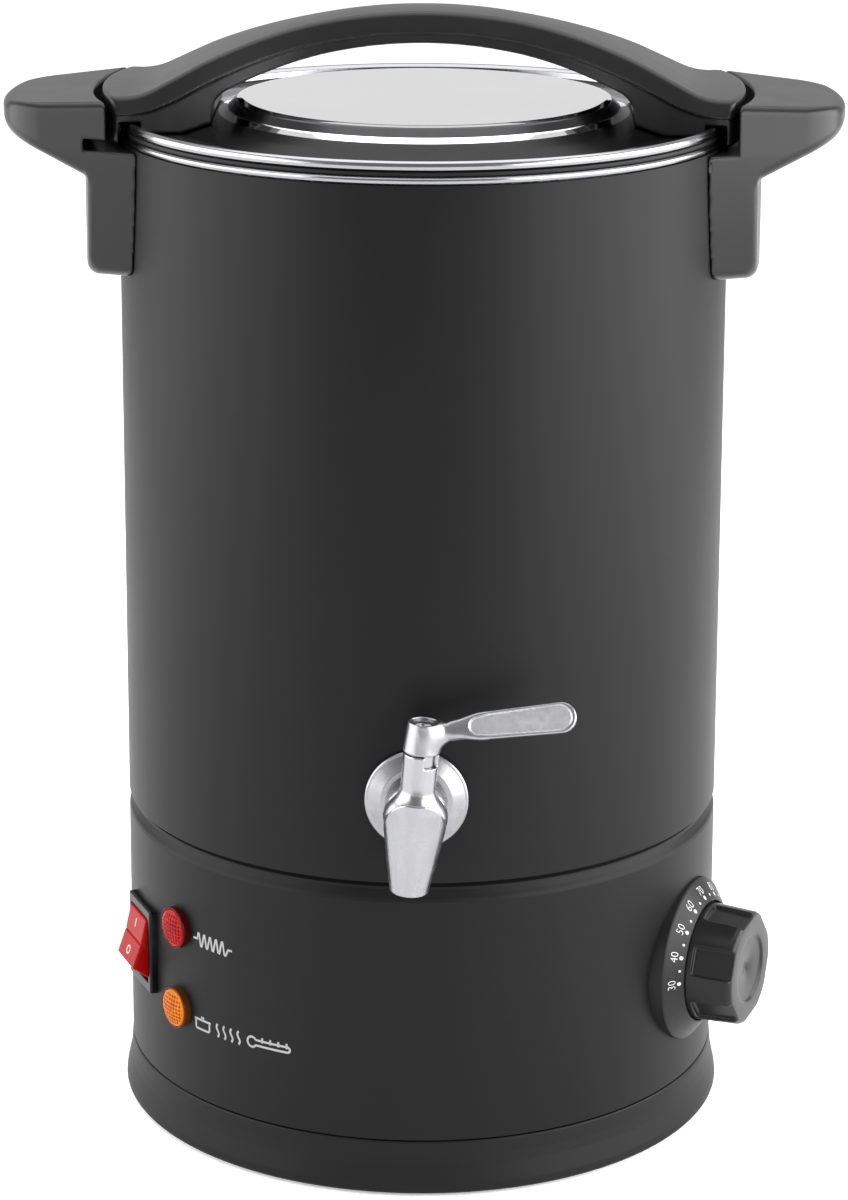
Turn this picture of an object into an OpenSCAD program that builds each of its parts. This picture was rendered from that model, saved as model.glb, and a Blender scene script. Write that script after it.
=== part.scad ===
// Countertop candle wax melter: a double-walled steel pot on a heated base,
// with a bayonet lid, a lever tap, a thermostat dial, a lit rocker switch and
// two signal lamps. Millimetres, +Z up. The origin is on the pot's axis, on the
// surface that the rubber feet stand on; the tap points to -Y.

/* [Body] */
// Outside diameter of the jacket and of the lower casing
body_d = 216; // [212:1:220]
// Height of the seam between the base ring and the lower casing
ring_h = 20; // [18:0.5:22]
// Height of the seam between the lower casing and the jacket
seam_h = 115.3; // [114:0.1:117]
// Height of the underside of the pot's rolled rim
rim_h = 357.7; // [355:0.1:360]
// Outside diameter of the flared foot of the base ring
foot_d = 221.2; // [218:0.2:224]

/* [Pot] */
// Inside diameter of the pot
pot_d = 198; // [194:1:199]
// Height of the pot's floor, outside face
pot_floor_h = 125; // [124:1:127]

/* [Lid] */
// Height of the underside of the lid's rolled edge
lid_h = 362; // [361.6:0.1:362.4]
// Radius of the raised centre of the lid
lid_disc_r = 66; // [62:1:68]
// Height of the raised centre of the lid
lid_disc_h = 370; // [367:0.5:371]
// Outside radius of the end walls of the lid's handle
arch_end_r = 113.5; // [113:0.5:115]
// Height of the top of the arch, at its middle
arch_top_h = 401.4; // [399:0.1:404]

/* [Side handles] */
// Radius of the arc cut in the side handles round the lid's handle
recess_r = 116.5; // [115.6:0.1:117.5]
// Reach of each side handle from the axis
grip_reach = 148.6; // [146:0.2:152]
// Height of the grips' upper face beside the lid's handle
grip_top_h = 373.4; // [372:0.2:375]

/* [Tap] */
// Height of the tap's axis
tap_h = 146; // [145:0.5:148]
// Lean of the tap about its own shank, as it was tightened
tap_lean = 4.7; // [0:0.1:6]
// Distance of the spout's centre line from the pot's axis
tap_y = 122; // [121:0.5:124]
// Length of the lever from the stem to its tip
lever_l = 51.5; // [46:0.5:54]

/* [Controls] */
// Azimuth of the dial, from the front towards +X
dial_az = 65.2; // [60:0.1:70]
// Height of the dial's axis
dial_h = 63.4; // [60:0.2:68]
// Azimuth of the rocker switch, from the front towards -X
switch_az = 67.2; // [64:0.1:72]
// Height of the middle of the switch
switch_h = 66.2; // [64:0.1:68]
// Azimuth of the signal lamps, from the front towards -X
lamp_az = 52.3; // [49:0.1:54]
// Heights of the upper and of the lower lamp
lamp_h = [81.8, 51.4]; // [50:0.1:84]

/* [Hidden] */
$fn = 96;
e = 0.05;
R = body_d / 2;
wall = 1.2;
pr = pot_d / 2;
seal_z = 360.1;
TAU = 16.5;        // tilt of the rocker at rest, upper half pressed in

// ---------- shared helpers ----------

// Puts its children on the wall of the body: local z points away from the axis,
// local y up, local x to the right as seen from outside.
module on_wall(az, z) rotate([90, 0, az]) translate([0, z, 0]) children();

// The tap's own frame: leaned about the axis of its shank.
module tap_frame() translate([0, 0, tap_h]) rotate([0, tap_lean, 0]) translate([0, 0, -tap_h]) children();

// A skin through rings of points, closed with a flat end at each side.
module loft(rings) {
  n = len(rings);
  m = len(rings[0]);
  pts = [for (r = rings) for (p = r) p];
  side = [for (i = [0:n - 2]) for (j = [0:m - 1]) let (k = (j + 1) % m)
    each [[i * m + j, (i + 1) * m + k, i * m + k], [i * m + j, (i + 1) * m + j, (i + 1) * m + k]]];
  first = [[for (j = [0:m - 1]) j]];
  last = [[for (j = [m - 1:-1:0]) (n - 1) * m + j]];
  polyhedron(points = pts, faces = concat(side, first, last), convexity = 8);
}

function smooth(u) = let (c = max(0, min(1, u))) c * c * (3 - 2 * c);

// ---------- base ----------

module base_ring() color([0.09, 0.09, 0.10]) difference() {
  rotate_extrude($fn = 128) polygon([
    [foot_d / 2 - 0.6, 1], [foot_d / 2, 1.8], [foot_d / 2 - 0.3, 4.5], [foot_d / 2 - 1.0, 7.5],
    [foot_d / 2 - 1.7, 10.8], [foot_d / 2 - 2.2, 14.5], [foot_d / 2 - 2.5, ring_h - 0.8],
    [foot_d / 2 - 2.9, ring_h - 0.45], [R - wall - 0.3, ring_h - 0.45], [R - wall - 0.3, ring_h + 4],
    [R - wall - 2.6, ring_h + 4], [R - wall - 2.6, 7.4], [94, 7.4], [94, 5.25], [105.4, 5.25], [105.4, 1]]);
  for (a = [45:90:315]) rotate([0, 0, a]) translate([99, 0, 4]) cylinder(r = 1.95, h = 5, $fn = 24);
}

module base_plate() color([0.60, 0.61, 0.62]) difference() {
  translate([0, 0, 4]) cylinder(r = 105, h = 1.2, $fn = 128);
  for (a = [45:90:315]) rotate([0, 0, a]) translate([99, 0, 3]) cylinder(r = 2.1, h = 3, $fn = 24);
  translate([0, 0, 3]) cylinder(r = 3.1, h = 3, $fn = 32);
  for (a = [0:22.5:337.5]) rotate([0, 0, a + 11.25]) translate([40, -1.75, 3]) cube([26, 3.5, 3]);
}

module rubber_feet() color([0.05, 0.05, 0.05])
  for (a = [22.5, 112.5, 202.5, 292.5]) rotate([0, 0, a]) translate([86, 0, 0])
    rotate_extrude($fn = 48) polygon([[0, 0], [6.8, 0], [7.6, 0.8], [8.6, 4], [0, 4]]);

module base_screws() color([0.72, 0.72, 0.73])
  for (a = [45:90:315]) rotate([0, 0, a]) translate([99, 0, 0]) difference() {
    union() {
      rotate_extrude($fn = 32) polygon([[0, 2.1], [3.0, 2.1], [3.8, 2.9], [3.8, 4], [1.9, 4], [1.9, 7.2], [0, 7.2]]);
    }
    for (q = [0, 90]) rotate([0, 0, q]) translate([-2.2, -0.45, 1.5]) cube([4.4, 0.9, 1.5]);
  }

module lower_casing() color([0.16, 0.16, 0.17]) difference() {
  rotate_extrude($fn = 160) polygon([
    [R - wall, ring_h], [R, ring_h], [R, 108.6], [R - wall, 108.6]]);
  on_wall(dial_az, dial_h) translate([0, 0, R - 8]) cylinder(r = 5.4, h = 16, $fn = 40);
  on_wall(-switch_az, switch_h) translate([-10.8, -13.9, R - 10]) cube([21.6, 27.8, 16]);
  for (z = lamp_h) on_wall(-lamp_az, z) translate([0, 0, R - 8]) cylinder(r = 5.1, h = 16, $fn = 40);
  on_wall(180, 40) translate([0, 0, R - 8]) cylinder(r = 7.6, h = 16, $fn = 48);
}

// Joins the casing to the jacket, with a hollow that shades the seam
module joint_collar() color([0.14, 0.14, 0.15]) rotate_extrude($fn = 160) polygon([
  [R, 108.6], [R - 0.35, 109.5], [R - 1.1, 110.6], [R - 1.75, 112.2], [R - 2.0, 114.2], [R - 2.0, 119], [R - 3.2, 119],
  [R - 3.2, 104], [R - wall, 104], [R - wall, 108.6]]);

module heat_shield() color([0.70, 0.71, 0.72]) difference() {
  rotate_extrude($fn = 128) polygon([[0, 98], [103.6, 98], [103.6, 106], [102.8, 106], [102.8, 98.8], [0, 98.8]]);
  translate([0, 0, 97]) cylinder(r = 3.4, h = 4, $fn = 32);
  translate([48, -24.4, 97]) cylinder(r = 3, h = 4, $fn = 32);
  for (s = [-1, 1]) translate([-62, s * 8, 97]) cylinder(r = 5, h = 4, $fn = 32);
  for (a = [60, 180, 300]) rotate([0, 0, a]) translate([88, -9, 97]) cube([5, 18, 4]);
}

module centre_stud() color([0.75, 0.75, 0.76]) {
  translate([0, 0, 1.6]) cylinder(r = 2.95, h = 116.4, $fn = 32);
  translate([0, 0, 92]) cylinder(r = 6.2, h = 6, $fn = 6);
  translate([0, 0, 98.8]) cylinder(r = 6.2, h = 5, $fn = 6);
}

module stud_nut() color([0.75, 0.75, 0.76]) difference() {
  translate([0, 0, 1.2]) cylinder(r = 5.8, h = 2.8, $fn = 6);
  translate([0, 0, 0.5]) cylinder(r = 3, h = 5, $fn = 32);
}

// ---------- jacket, blanket and pot ----------

module screw_axes(at = R) for (s = [0, 180]) for (z = [322, 346]) rotate([0, 0, s])
  translate([at, 0, z]) rotate([0, 90, 0]) children();

module outer_jacket() color([0.15, 0.15, 0.16]) difference() {
  rotate_extrude($fn = 160) polygon([
    [R - 1.1, seam_h + 0.5], [R - 0.8, seam_h], [R - 0.2, seam_h], [R, seam_h + 0.4], [R, rim_h - 0.3], [R - 1.1, rim_h - 0.3]]);
  rotate([90, 0, 0]) translate([0, tap_h, R - 12]) cylinder(r = 8.6, h = 24, $fn = 48);
  screw_axes(R - 6) cylinder(r = 2.5, h = 12, $fn = 24);
}

module insulation_blanket() color([0.86, 0.80, 0.62]) difference() {
  rotate_extrude($fn = 96) polygon([[pr + 1.8, 140], [R - 2.2, 140], [R - 2.2, 350], [pr + 1.8, 350]]);
  rotate([90, 0, 0]) translate([0, tap_h, R - 12]) cylinder(r = 15, h = 24, $fn = 48);
  screw_axes(R - 12) cylinder(r = 7.5, h = 24, $fn = 32);
}

module inner_pot() color([0.80, 0.81, 0.82]) difference() {
  rotate_extrude($fn = 160) polygon([[pr, pot_floor_h + 1.2], [pr + 1, pot_floor_h + 1.2], [pr + 1, 358.9], [pr, 358.9]]);
  rotate([90, 0, 0]) translate([0, tap_h, pr - 20]) cylinder(r = 8.6, h = 26, $fn = 48);
}

// The floor, welded under the pot's wall
module pot_floor() color([0.78, 0.79, 0.80]) translate([0, 0, pot_floor_h]) cylinder(r = pr + 1, h = 1.2, $fn = 160);

// The pot's brim, rolled over the jacket
module pot_rim() color([0.80, 0.81, 0.82]) rotate_extrude($fn = 160) polygon([
  [pr, 358.9], [R - 1.9, 358.9], [R - 1.5, rim_h + 0.3], [R - 0.6, rim_h], [R + 0.3, rim_h + 0.25],
  [R + 0.9, rim_h + 1.2], [R + 0.7, rim_h + 1.9], [R + 0.1, seal_z], [pr, seal_z]]);

// ---------- heat ----------

module heater_plate() color([0.74, 0.74, 0.75]) difference() {
  translate([0, 0, 118]) cylinder(r = 84, h = pot_floor_h - 118, $fn = 128);
  rotate_extrude($fn = 96) translate([62, 118.4]) circle(r = 3.5, $fn = 32);
  translate([25, -30, 118.4]) rotate([0, 90, 39.8]) translate([0, 0, -22]) cylinder(r = 3.25, h = 46, $fn = 32);
}

module heating_element() color([0.45, 0.44, 0.43]) {
  rotate([0, 0, 187.4]) rotate_extrude(angle = 345.2, $fn = 96) translate([62, 118.4]) circle(r = 3.3, $fn = 32);
  for (s = [-1, 1]) translate([-61.48, s * 8, 88]) cylinder(r = 3.3, h = 30.4, $fn = 32);
  for (s = [-1, 1]) translate([-61.48, s * 8, 80]) cylinder(r = 1.4, h = 8, $fn = 24);
}

module thermal_cutout() color([0.82, 0.80, 0.74]) {
  translate([-24, 20, 106]) cylinder(r = 8, h = 12, $fn = 48);
  translate([-24, 20, 103]) cylinder(r = 10, h = 3, $fn = 48);
  for (s = [-1, 1]) translate([-24 + s * 5 - 0.4, 16.8, 101]) cube([0.8, 6.3, 2.2]);
}

module sensor_bulb() color([0.78, 0.60, 0.42])
  translate([25, -30, 118.4]) rotate([0, 90, 39.8]) translate([0, 0, -20]) cylinder(r = 3.15, h = 40, $fn = 32);

// The capillary from the bulb, through the shield, to the thermostat.
CAP = [[40.4, -17.2, 118.4], [41.7, -16.1, 118], [42.6, -15.5, 116.6], [44, -15.8, 114], [46.4, -18, 110], [47.8, -21.5, 105],
       [48, -24, 100], [48.2, -25, 94], [50, -26, 87], [54, -27, 80.5], [59, -28, 75.5], [63, -29.2, 72.9], [67.1, -31, 72.3]];
module capillary_tube() color([0.78, 0.60, 0.42]) {
  n = len(CAP);
  // direction at each point, and two normals to it
  T = [for (i = [0:n - 1]) let (d = CAP[min(n - 1, i + 1)] - CAP[max(0, i - 1)]) d / norm(d)];
  loft([for (i = [n - 1:-1:0]) let (u0 = cross(T[i], [0.3, 1, 0.2]), u = u0 / norm(u0), v = cross(u, T[i]))
    [for (k = [0:7]) CAP[i] + 1.0 * (cos(45 * k) * u + sin(45 * k) * v)]]);
}

// ---------- thermostat and dial ----------

module thermostat_body() color([0.80, 0.78, 0.72]) on_wall(dial_az, dial_h) difference() {
  union() {
    translate([-17, -15, 74]) cube([34, 30, 20]);
    translate([-21, -21, 94]) cube([42, 42, 1.5]);
    translate([0, 0, 95]) cylinder(r = 7, h = 9, $fn = 48);
    translate([0, 0, 95]) cylinder(r = 5.1, h = 15.6, $fn = 48);
  }
  translate([0, 0, 88]) cylinder(r = 3.05, h = 40, $fn = 48);
}

module thermostat_shaft() color([0.80, 0.68, 0.40]) on_wall(dial_az, dial_h)
  translate([0, 0, 88.2]) cylinder(r = 3, h = 36, $fn = 48);

module dial_bezel() color([0.12, 0.12, 0.13]) difference() {
  on_wall(dial_az, dial_h) difference() {
    rotate_extrude($fn = 96) polygon([[5.6, 100], [29.5, 100], [29.5, 108.7], [29.1, 109.2], [22.3, 114.4],
      [21.8, 114.3], [21.8, 112.2], [5.6, 112.2]]);
  }
  cylinder(r = R + 0.05, h = 200, $fn = 160);
}

module dial_knob() color([0.10, 0.10, 0.11]) on_wall(dial_az, dial_h) difference() {
  rotate_extrude($fn = 96) polygon([[0, 112.9], [21.15, 112.9], [20.6, 127.6], [19.9, 129.6], [18.4, 130.8],
    [15.6, 131.2], [12.2, 131.2], [11.3, 130.4], [8, 130], [0, 129.9]]);
  translate([0, 0, 110]) cylinder(r = 3.02, h = 14.6, $fn = 48);
  for (a = [9:60:309]) rotate([0, 0, a]) translate([-5.1, 19.25, 116]) rotate([3.5, 0, 0]) cube([10.2, 4, 18]);
}

// ---------- switch and lamps ----------

module switch_housing() color([0.06, 0.06, 0.06]) difference() {
  on_wall(-switch_az, switch_h) difference() {
    union() {
      translate([-12.15, -15.7, 104]) cube([24.3, 31.4, 6.1]);
      translate([-10.6, -13.7, 84]) cube([21.2, 27.4, 21]);
      for (x = [-6, 6]) for (y = [-9, 0, 9]) translate([x - 0.4, y - 3.1, 74]) cube([0.8, 6.2, 10.5]);
    }
    translate([-9.5, -12.2, 93]) cube([19, 24.4, 20]);
    translate([-9.5, -13, 93]) cube([19, 26, 14]);
    translate([0, 0, 103.5]) rotate([0, 90, 0]) translate([0, 0, -10.3]) cylinder(r = 1.55, h = 20.6, $fn = 32);
  }
  difference() {
    cylinder(r = R + 0.05, h = 200, $fn = 160);
    on_wall(-switch_az, switch_h) translate([-10.6, -13.7, 60]) cube([21.2, 27.4, 60]);
  }
}

// Tilted about its pin so that the upper half is pressed in.
module rocker_frame() on_wall(-switch_az, switch_h) translate([0, 0, 103.5]) rotate([-TAU, 0, 0]) children();

module switch_rocker() color([0.80, 0.06, 0.05]) rocker_frame() difference() {
  translate([-9.2, 0, 0]) rotate([90, 0, 90]) linear_extrude(height = 18.4)
    polygon([[-12.2, 1], [-11.86, 3.6], [-10.3, 7.2], [-9.5, 9.7], [-9.1, 10.05], [0, 9.5], [9.1, 10.05], [9.5, 9.7], [10.3, 7.2], [11.86, 3.6], [12.2, 1], [6, -4.2], [-6, -4.2]]);
  rotate([0, 90, 0]) translate([0, 0, -12]) cylinder(r = 1.55, h = 24, $fn = 32);
}

module rocker_pin() color([0.75, 0.75, 0.76]) on_wall(-switch_az, switch_h) translate([0, 0, 103.5])
  rotate([0, 90, 0]) translate([0, 0, -10.2]) cylinder(r = 1.5, h = 20.4, $fn = 32);

module lens(z) difference() {
  on_wall(-lamp_az, z) rotate_extrude($fn = 64) polygon([[0, 104], [7.6, 104], [7.6, 109.4], [7.2, 110.2],
    [6.5, 110.5], [5.8, 111.4], [3.4, 112.0], [0, 112.2]]);
  cylinder(r = R + 0.05, h = 200, $fn = 160);
}
module heat_lamp_lens() color([0.85, 0.12, 0.10]) lens(lamp_h[0]);
module warm_lamp_lens() color([0.95, 0.55, 0.10]) lens(lamp_h[1]);

module lamp_bodies() color([0.08, 0.08, 0.08]) for (z = lamp_h) on_wall(-lamp_az, z) {
  translate([0, 0, 84]) cylinder(r = 4.9, h = R - 0.3 - 84, $fn = 48);
  translate([0, 0, 102.8]) cylinder(r = 7.6, h = 3.2, $fn = 6);
  for (s = [-1, 1]) translate([s * 2.4 - 0.3, -1.4, 76]) cube([0.6, 2.8, 8.5]);
}

module terminal_block() color([0.92, 0.90, 0.84]) difference() {
  translate([-17, 38, 5.2]) cube([34, 20, 17]);
  for (x = [-11, 0, 11]) {
    translate([x, 48, 13]) cylinder(r = 2.6, h = 12, $fn = 32);
    translate([x, 36, 11]) rotate([-90, 0, 0]) cylinder(r = 2.2, h = 24, $fn = 32);
  }
}

// ---------- cord entry ----------

module cord_gland() color([0.07, 0.07, 0.07]) on_wall(180, 40) difference() {
  union() {
    translate([0, 0, 97]) cylinder(r = 7.5, h = 24, $fn = 64);
    translate([0, 0, R + 0.1]) cylinder(r = 11, h = 6.4, $fn = 6);
    rotate_extrude($fn = 64) polygon([[0, 114.5], [9.4, 114.5], [9.4, 122], [8.4, 123.2], [6.4, tap_y + 11.5], [0, tap_y + 11.5]]);
  }
  translate([0, 0, 90]) cylinder(r = 3.7, h = 50, $fn = 64);
}

module gland_nut() color([0.07, 0.07, 0.07]) on_wall(180, 40) difference() {
  translate([0, 0, 99.5]) cylinder(r = 11, h = 5, $fn = 6);
  translate([0, 0, 90]) cylinder(r = 7.55, h = 20, $fn = 64);
}

// ---------- side handles ----------

// Height of the grip's top and bottom, and half its width, at x from the axis
function grip_top(x) = grip_top_h - 0.071 * (x - 109) - 2.7 * smooth((x - grip_reach + 4.5) / 5);
function grip_bot(x) = let (q = max(0, 4 - grip_reach + x)) x < 116.3 ? 343.5 : 346.9 + (x - 116.3) * 0.465 + 4 - sqrt(16 - q * q);
function grip_half(x) = let (s = 46.3 - 0.34 * (x - 98), q = grip_reach - x + 0.15, n = sqrt(180 * q - q * q))
  pow(pow(s, -14) + pow(n, -14), -1 / 14);

// One cross-section of the grip, a rounded rectangle across Y
function grip_ring(x) = let (w = grip_half(x), t = grip_top(x), b = grip_bot(x), c = min(2.6, w * 0.45, (t - b) * 0.4))
  [[x, -w, b + c], [x, -w + c * 0.3, b + c * 0.3], [x, -w + c, b], [x, w - c, b], [x, w - c * 0.3, b + c * 0.3], [x, w, b + c],
   [x, w, t - c], [x, w - c * 0.3, t - c * 0.3], [x, w - c, t], [x, -w + c, t], [x, -w + c * 0.3, t - c * 0.3], [x, -w, t - c]];

GX = concat([100, 106, 112, 116.3], [for (i = [1:5]) 116.3 + i * 4.2], [for (q = [8.8, 7.2, 5.8, 4.6, 3.6, 2.7, 1.9, 1.2, 0.7, 0.3, 0]) grip_reach - q]);

// Half the width of a handle's leg at the height z and the distance x from the axis
function leg_half(x, z) = let (d = max(0, 356 - z)) 46.1 - 0.345 * (x - 98) - 0.065 * d - 0.00198 * d * d - 2.6 * pow(max(0, 314 - z) / 3, 2);

module grip_leg() intersection() {
  loft([for (z = [311, 311.6, 312.6, 314, 320, 327, 334, 341, 349, 357, 365])
    [[92, -leg_half(92, z), z], [126, -leg_half(126, z), z], [126, leg_half(126, z), z], [92, leg_half(92, z), z]]]);
  translate([119.4 - 200, 0, 0]) rotate_extrude($fn = 360) polygon([[150, 311], [196.6, 311], [198.6, 311.9], [199.6, 313.2], [200, 314.6], [200, 380], [150, 380]]);
}

module side_handle() difference() {
  union() {
    loft([for (x = GX) grip_ring(x)]);
    grip_leg();
  }
  // the seat on the jacket, and the arc round the lid's handle
  translate([0, 0, 290]) cylinder(r = R + 0.1, h = 120, $fn = 160);
  translate([0, 0, 356.3]) cylinder(r = recess_r, h = 60, $fn = 160);
  // the bayonet slot, open at one side
  intersection() {
    translate([0, 0, 356.3]) cylinder(r = 123.4, h = 4.2, $fn = 160);
    translate([90, -20, 350]) cube([40, 80, 20]);
  }
  // blind holes of the screws
  for (z = [322, 346]) translate([R - 2, 0, z]) rotate([0, 90, 0]) cylinder(r = 2.05, h = 9, $fn = 24);
}

module side_handle_right() color([0.14, 0.14, 0.15]) side_handle();
module side_handle_left() color([0.14, 0.14, 0.15]) rotate([0, 0, 180]) side_handle();

module handle_screws() color([0.72, 0.72, 0.73]) {
  screw_axes(R - 3.4) rotate_extrude($fn = 32)
    polygon([[0, 0], [3.6, 0], [4.4, 0.8], [4.4, 2.1], [2, 2.1], [2, 10.2], [0, 10.2]]);
}

// ---------- lid ----------

module lid_seal() color([0.03, 0.03, 0.03]) rotate_extrude($fn = 128)
  polygon([[100.5, seal_z], [107.3, seal_z], [107.3, 361.7], [105.6, 361.7], [104.9, 360.5], [100.5, 360.5]]);

// Half the outline of the lid: raised centre, shoulder, and a ring that falls a little outwards
LID_TOP = [[103.2, 361.4], [95, 361.35], [89, 360.95], [lid_disc_r + 8.5, 362.9], [lid_disc_r + 6.6, 363.3], [lid_disc_r + 5.6, 364.2],
  [lid_disc_r + 1.5, lid_disc_h - 1.3], [lid_disc_r + 0.2, lid_disc_h - 0.4], [lid_disc_r - 1.4, lid_disc_h], [0, lid_disc_h]];
LID_UNDER = [[0, lid_disc_h - 1], [lid_disc_r - 1.8, lid_disc_h - 1], [lid_disc_r - 0.5, lid_disc_h - 1.3], [lid_disc_r + 0.6, lid_disc_h - 2.1],
  [lid_disc_r + 4.7, 363.4], [lid_disc_r + 5.8, 362.4], [lid_disc_r + 8.2, 361.9], [88.8, 360.15], [95, 360.6], [103.3, 360.7], [104.6, 360.7]];

module lid_plate() color([0.82, 0.83, 0.84]) difference() {
  rotate_extrude($fn = 160) polygon(concat(LID_UNDER, [[105.4, lid_h], [107.4, lid_h], [108.3, 362.6], [108.7, 363.7], [108.2, 364.9],
    [107.1, 365.4], [105.9, 365.2], [105, 364.2], [104.6, 362.2], [104.0, 361.55]], LID_TOP));
  for (sx = [-1, 1]) for (sy = [-1, 1]) translate([sx * 83, sy * 20, 355]) cylinder(r = 2.4, h = 12, $fn = 24);
}

// Spot-welded under the lid, it centres the lid in the pot
module lid_collar() color([0.80, 0.81, 0.82]) rotate_extrude($fn = 128)
  polygon([[91, 350.5], [91.5, 350], [92, 350.5], [92, 359.5], [94.4, 359.5], [94.4, 360.3], [91, 360.2]]);

module lid_screws() color([0.72, 0.72, 0.73]) for (sx = [-1, 1]) for (sy = [-1, 1]) translate([sx * 83, sy * 20, 0])
  rotate_extrude($fn = 32) polygon([[0, 358], [3.4, 358], [4.2, 358.8], [4.2, 360.1], [2, 360.1], [2, 370.5], [0, 370.5]]);

// The arch: height of its crown and of the lower edge of its grip band, half
// its width, and the height of its underside, at x from the middle.
function a_top(x) = let (a = abs(x)) a <= 77 ? arch_top_h - 188 + sqrt(188 * 188 - a * a)
  : a <= 92 ? a_top(77) - 0.5 * (a - 77)
  : a <= 103.2 ? a_top(92) - 0.5 * (a - 92) + 0.5 * (a - 92) * (a - 92) / 22.4 : a_top(103.2);
function a_band(x) = let (a = abs(x)) a_top(x) - 6.9 - 1.1 * smooth((a - 20) / 60) + 1.9 * smooth((a - 84) / 18);
function a_half(x) = let (a = abs(x)) 12 + 0.03 * a + 21 * smooth((a - 30) / 80);
function a_under(x) = let (a = abs(x)) a <= 68 ? 390.4 - 160 + sqrt(160 * 160 - a * a) : a <= 71 ? 373.6 : a <= 72.6 ? 370.5 : a <= 73.3 ? 367 : 358.6;

// One cross-section of the arch, from under its front edge round over the crown
function a_ring(x) = let (w = a_half(x), t = a_top(x), b = a_band(x), u = min(a_under(x), b - 1.2))
  [[x, w + 1.4, u], [x, w + 2.1, b - 0.9], [x, w + 3.1, b - 0.2], [x, w + 3.2, b + 0.5], [x, w + 0.4, t - 0.9], [x, w - 0.6, t - 0.2],
   [x, w * 0.55, t + 0.12], [x, 0, t + 0.2], [x, -w * 0.55, t + 0.12],
   [x, -w + 0.6, t - 0.2], [x, -w - 0.4, t - 0.9], [x, -w - 3.2, b + 0.5], [x, -w - 3.1, b - 0.2], [x, -w - 2.1, b - 0.9], [x, -w - 1.4, u]];

AX = concat([for (i = [0:17]) i * 4], [70.4, 72, 73.1, 73.6], [77, 80, 83, 86, 89, 92, 94, 96, 98, 100, 102, 104, 108, 112, 116]);
AXS = concat([for (i = [len(AX) - 1:-1:1]) -AX[i]], AX);

module lid_handle() color([0.13, 0.13, 0.14]) difference() {
  loft([for (x = AXS) a_ring(x)]);
  // end walls on one arc round the axis
  difference() {
    translate([0, 0, 340]) cylinder(r = 140, h = 80, $fn = 64);
    translate([0, 0, 339]) cylinder(r = arch_end_r, h = 82, $fn = 160);
  }
  // seat on the lid round its raised centre, and the groove over its rolled edge
  rotate_extrude($fn = 160) polygon(concat([[0, 340], [104, 340], [104, 361.75]], [for (p = LID_TOP) [p[0] == 0 ? 0 : p[0] + 0.12, p[1] + 0.12]]));
  difference() {
    translate([0, 0, 340]) cylinder(r = 111.1, h = 365.8 - 340, $fn = 128);
    translate([0, 0, 339]) cylinder(r = 103.5, h = 30, $fn = 128);
  }
  // blind holes of the screws
  for (sx = [-1, 1]) for (sy = [-1, 1]) translate([sx * 83, sy * 20, 360]) cylinder(r = 2.05, h = 12, $fn = 24);
}

// ---------- tap ----------

module tap_flange() color([0.78, 0.79, 0.80]) difference() {
  rotate([90, 0, 0]) translate([0, tap_h, 0]) rotate_extrude($fn = 96)
    polygon([[8.35, 104], [17.7, 104], [17.7, 109.2], [17.25, 109.8], [12.2, 112.2], [8.35, 112.2]]);
  cylinder(r = R + 0.9, h = 200, $fn = 160);
}

module tap_gaskets() color([0.10, 0.10, 0.10]) {
  intersection() {
    rotate([90, 0, 0]) translate([0, tap_h, 100]) difference() {
      cylinder(r = 15.5, h = 16, $fn = 64);
      translate([0, 0, -1]) cylinder(r = 8.35, h = 20, $fn = 48);
    }
    difference() {
      translate([0, 0, 120]) cylinder(r = R + 0.85, h = 60, $fn = 160);
      translate([0, 0, 119]) cylinder(r = R + 0.05, h = 62, $fn = 160);
    }
  }
  intersection() {
    rotate([90, 0, 0]) translate([0, tap_h, 92.5]) difference() {
      cylinder(r = 10.6, h = 12, $fn = 64);
      translate([0, 0, -1]) cylinder(r = 8.35, h = 20, $fn = 48);
    }
    translate([0, 0, 120]) cylinder(r = pr - 0.05, h = 60, $fn = 160);
  }
}

module tap_nut() color([0.76, 0.77, 0.78]) rotate([90, 0, 0]) translate([0, tap_h, 0]) difference() {
  translate([0, 0, 88]) cylinder(r = 12.4, h = 4.5, $fn = 6);
  translate([0, 0, 80]) cylinder(r = 8.35, h = 20, $fn = 48);
}

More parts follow.
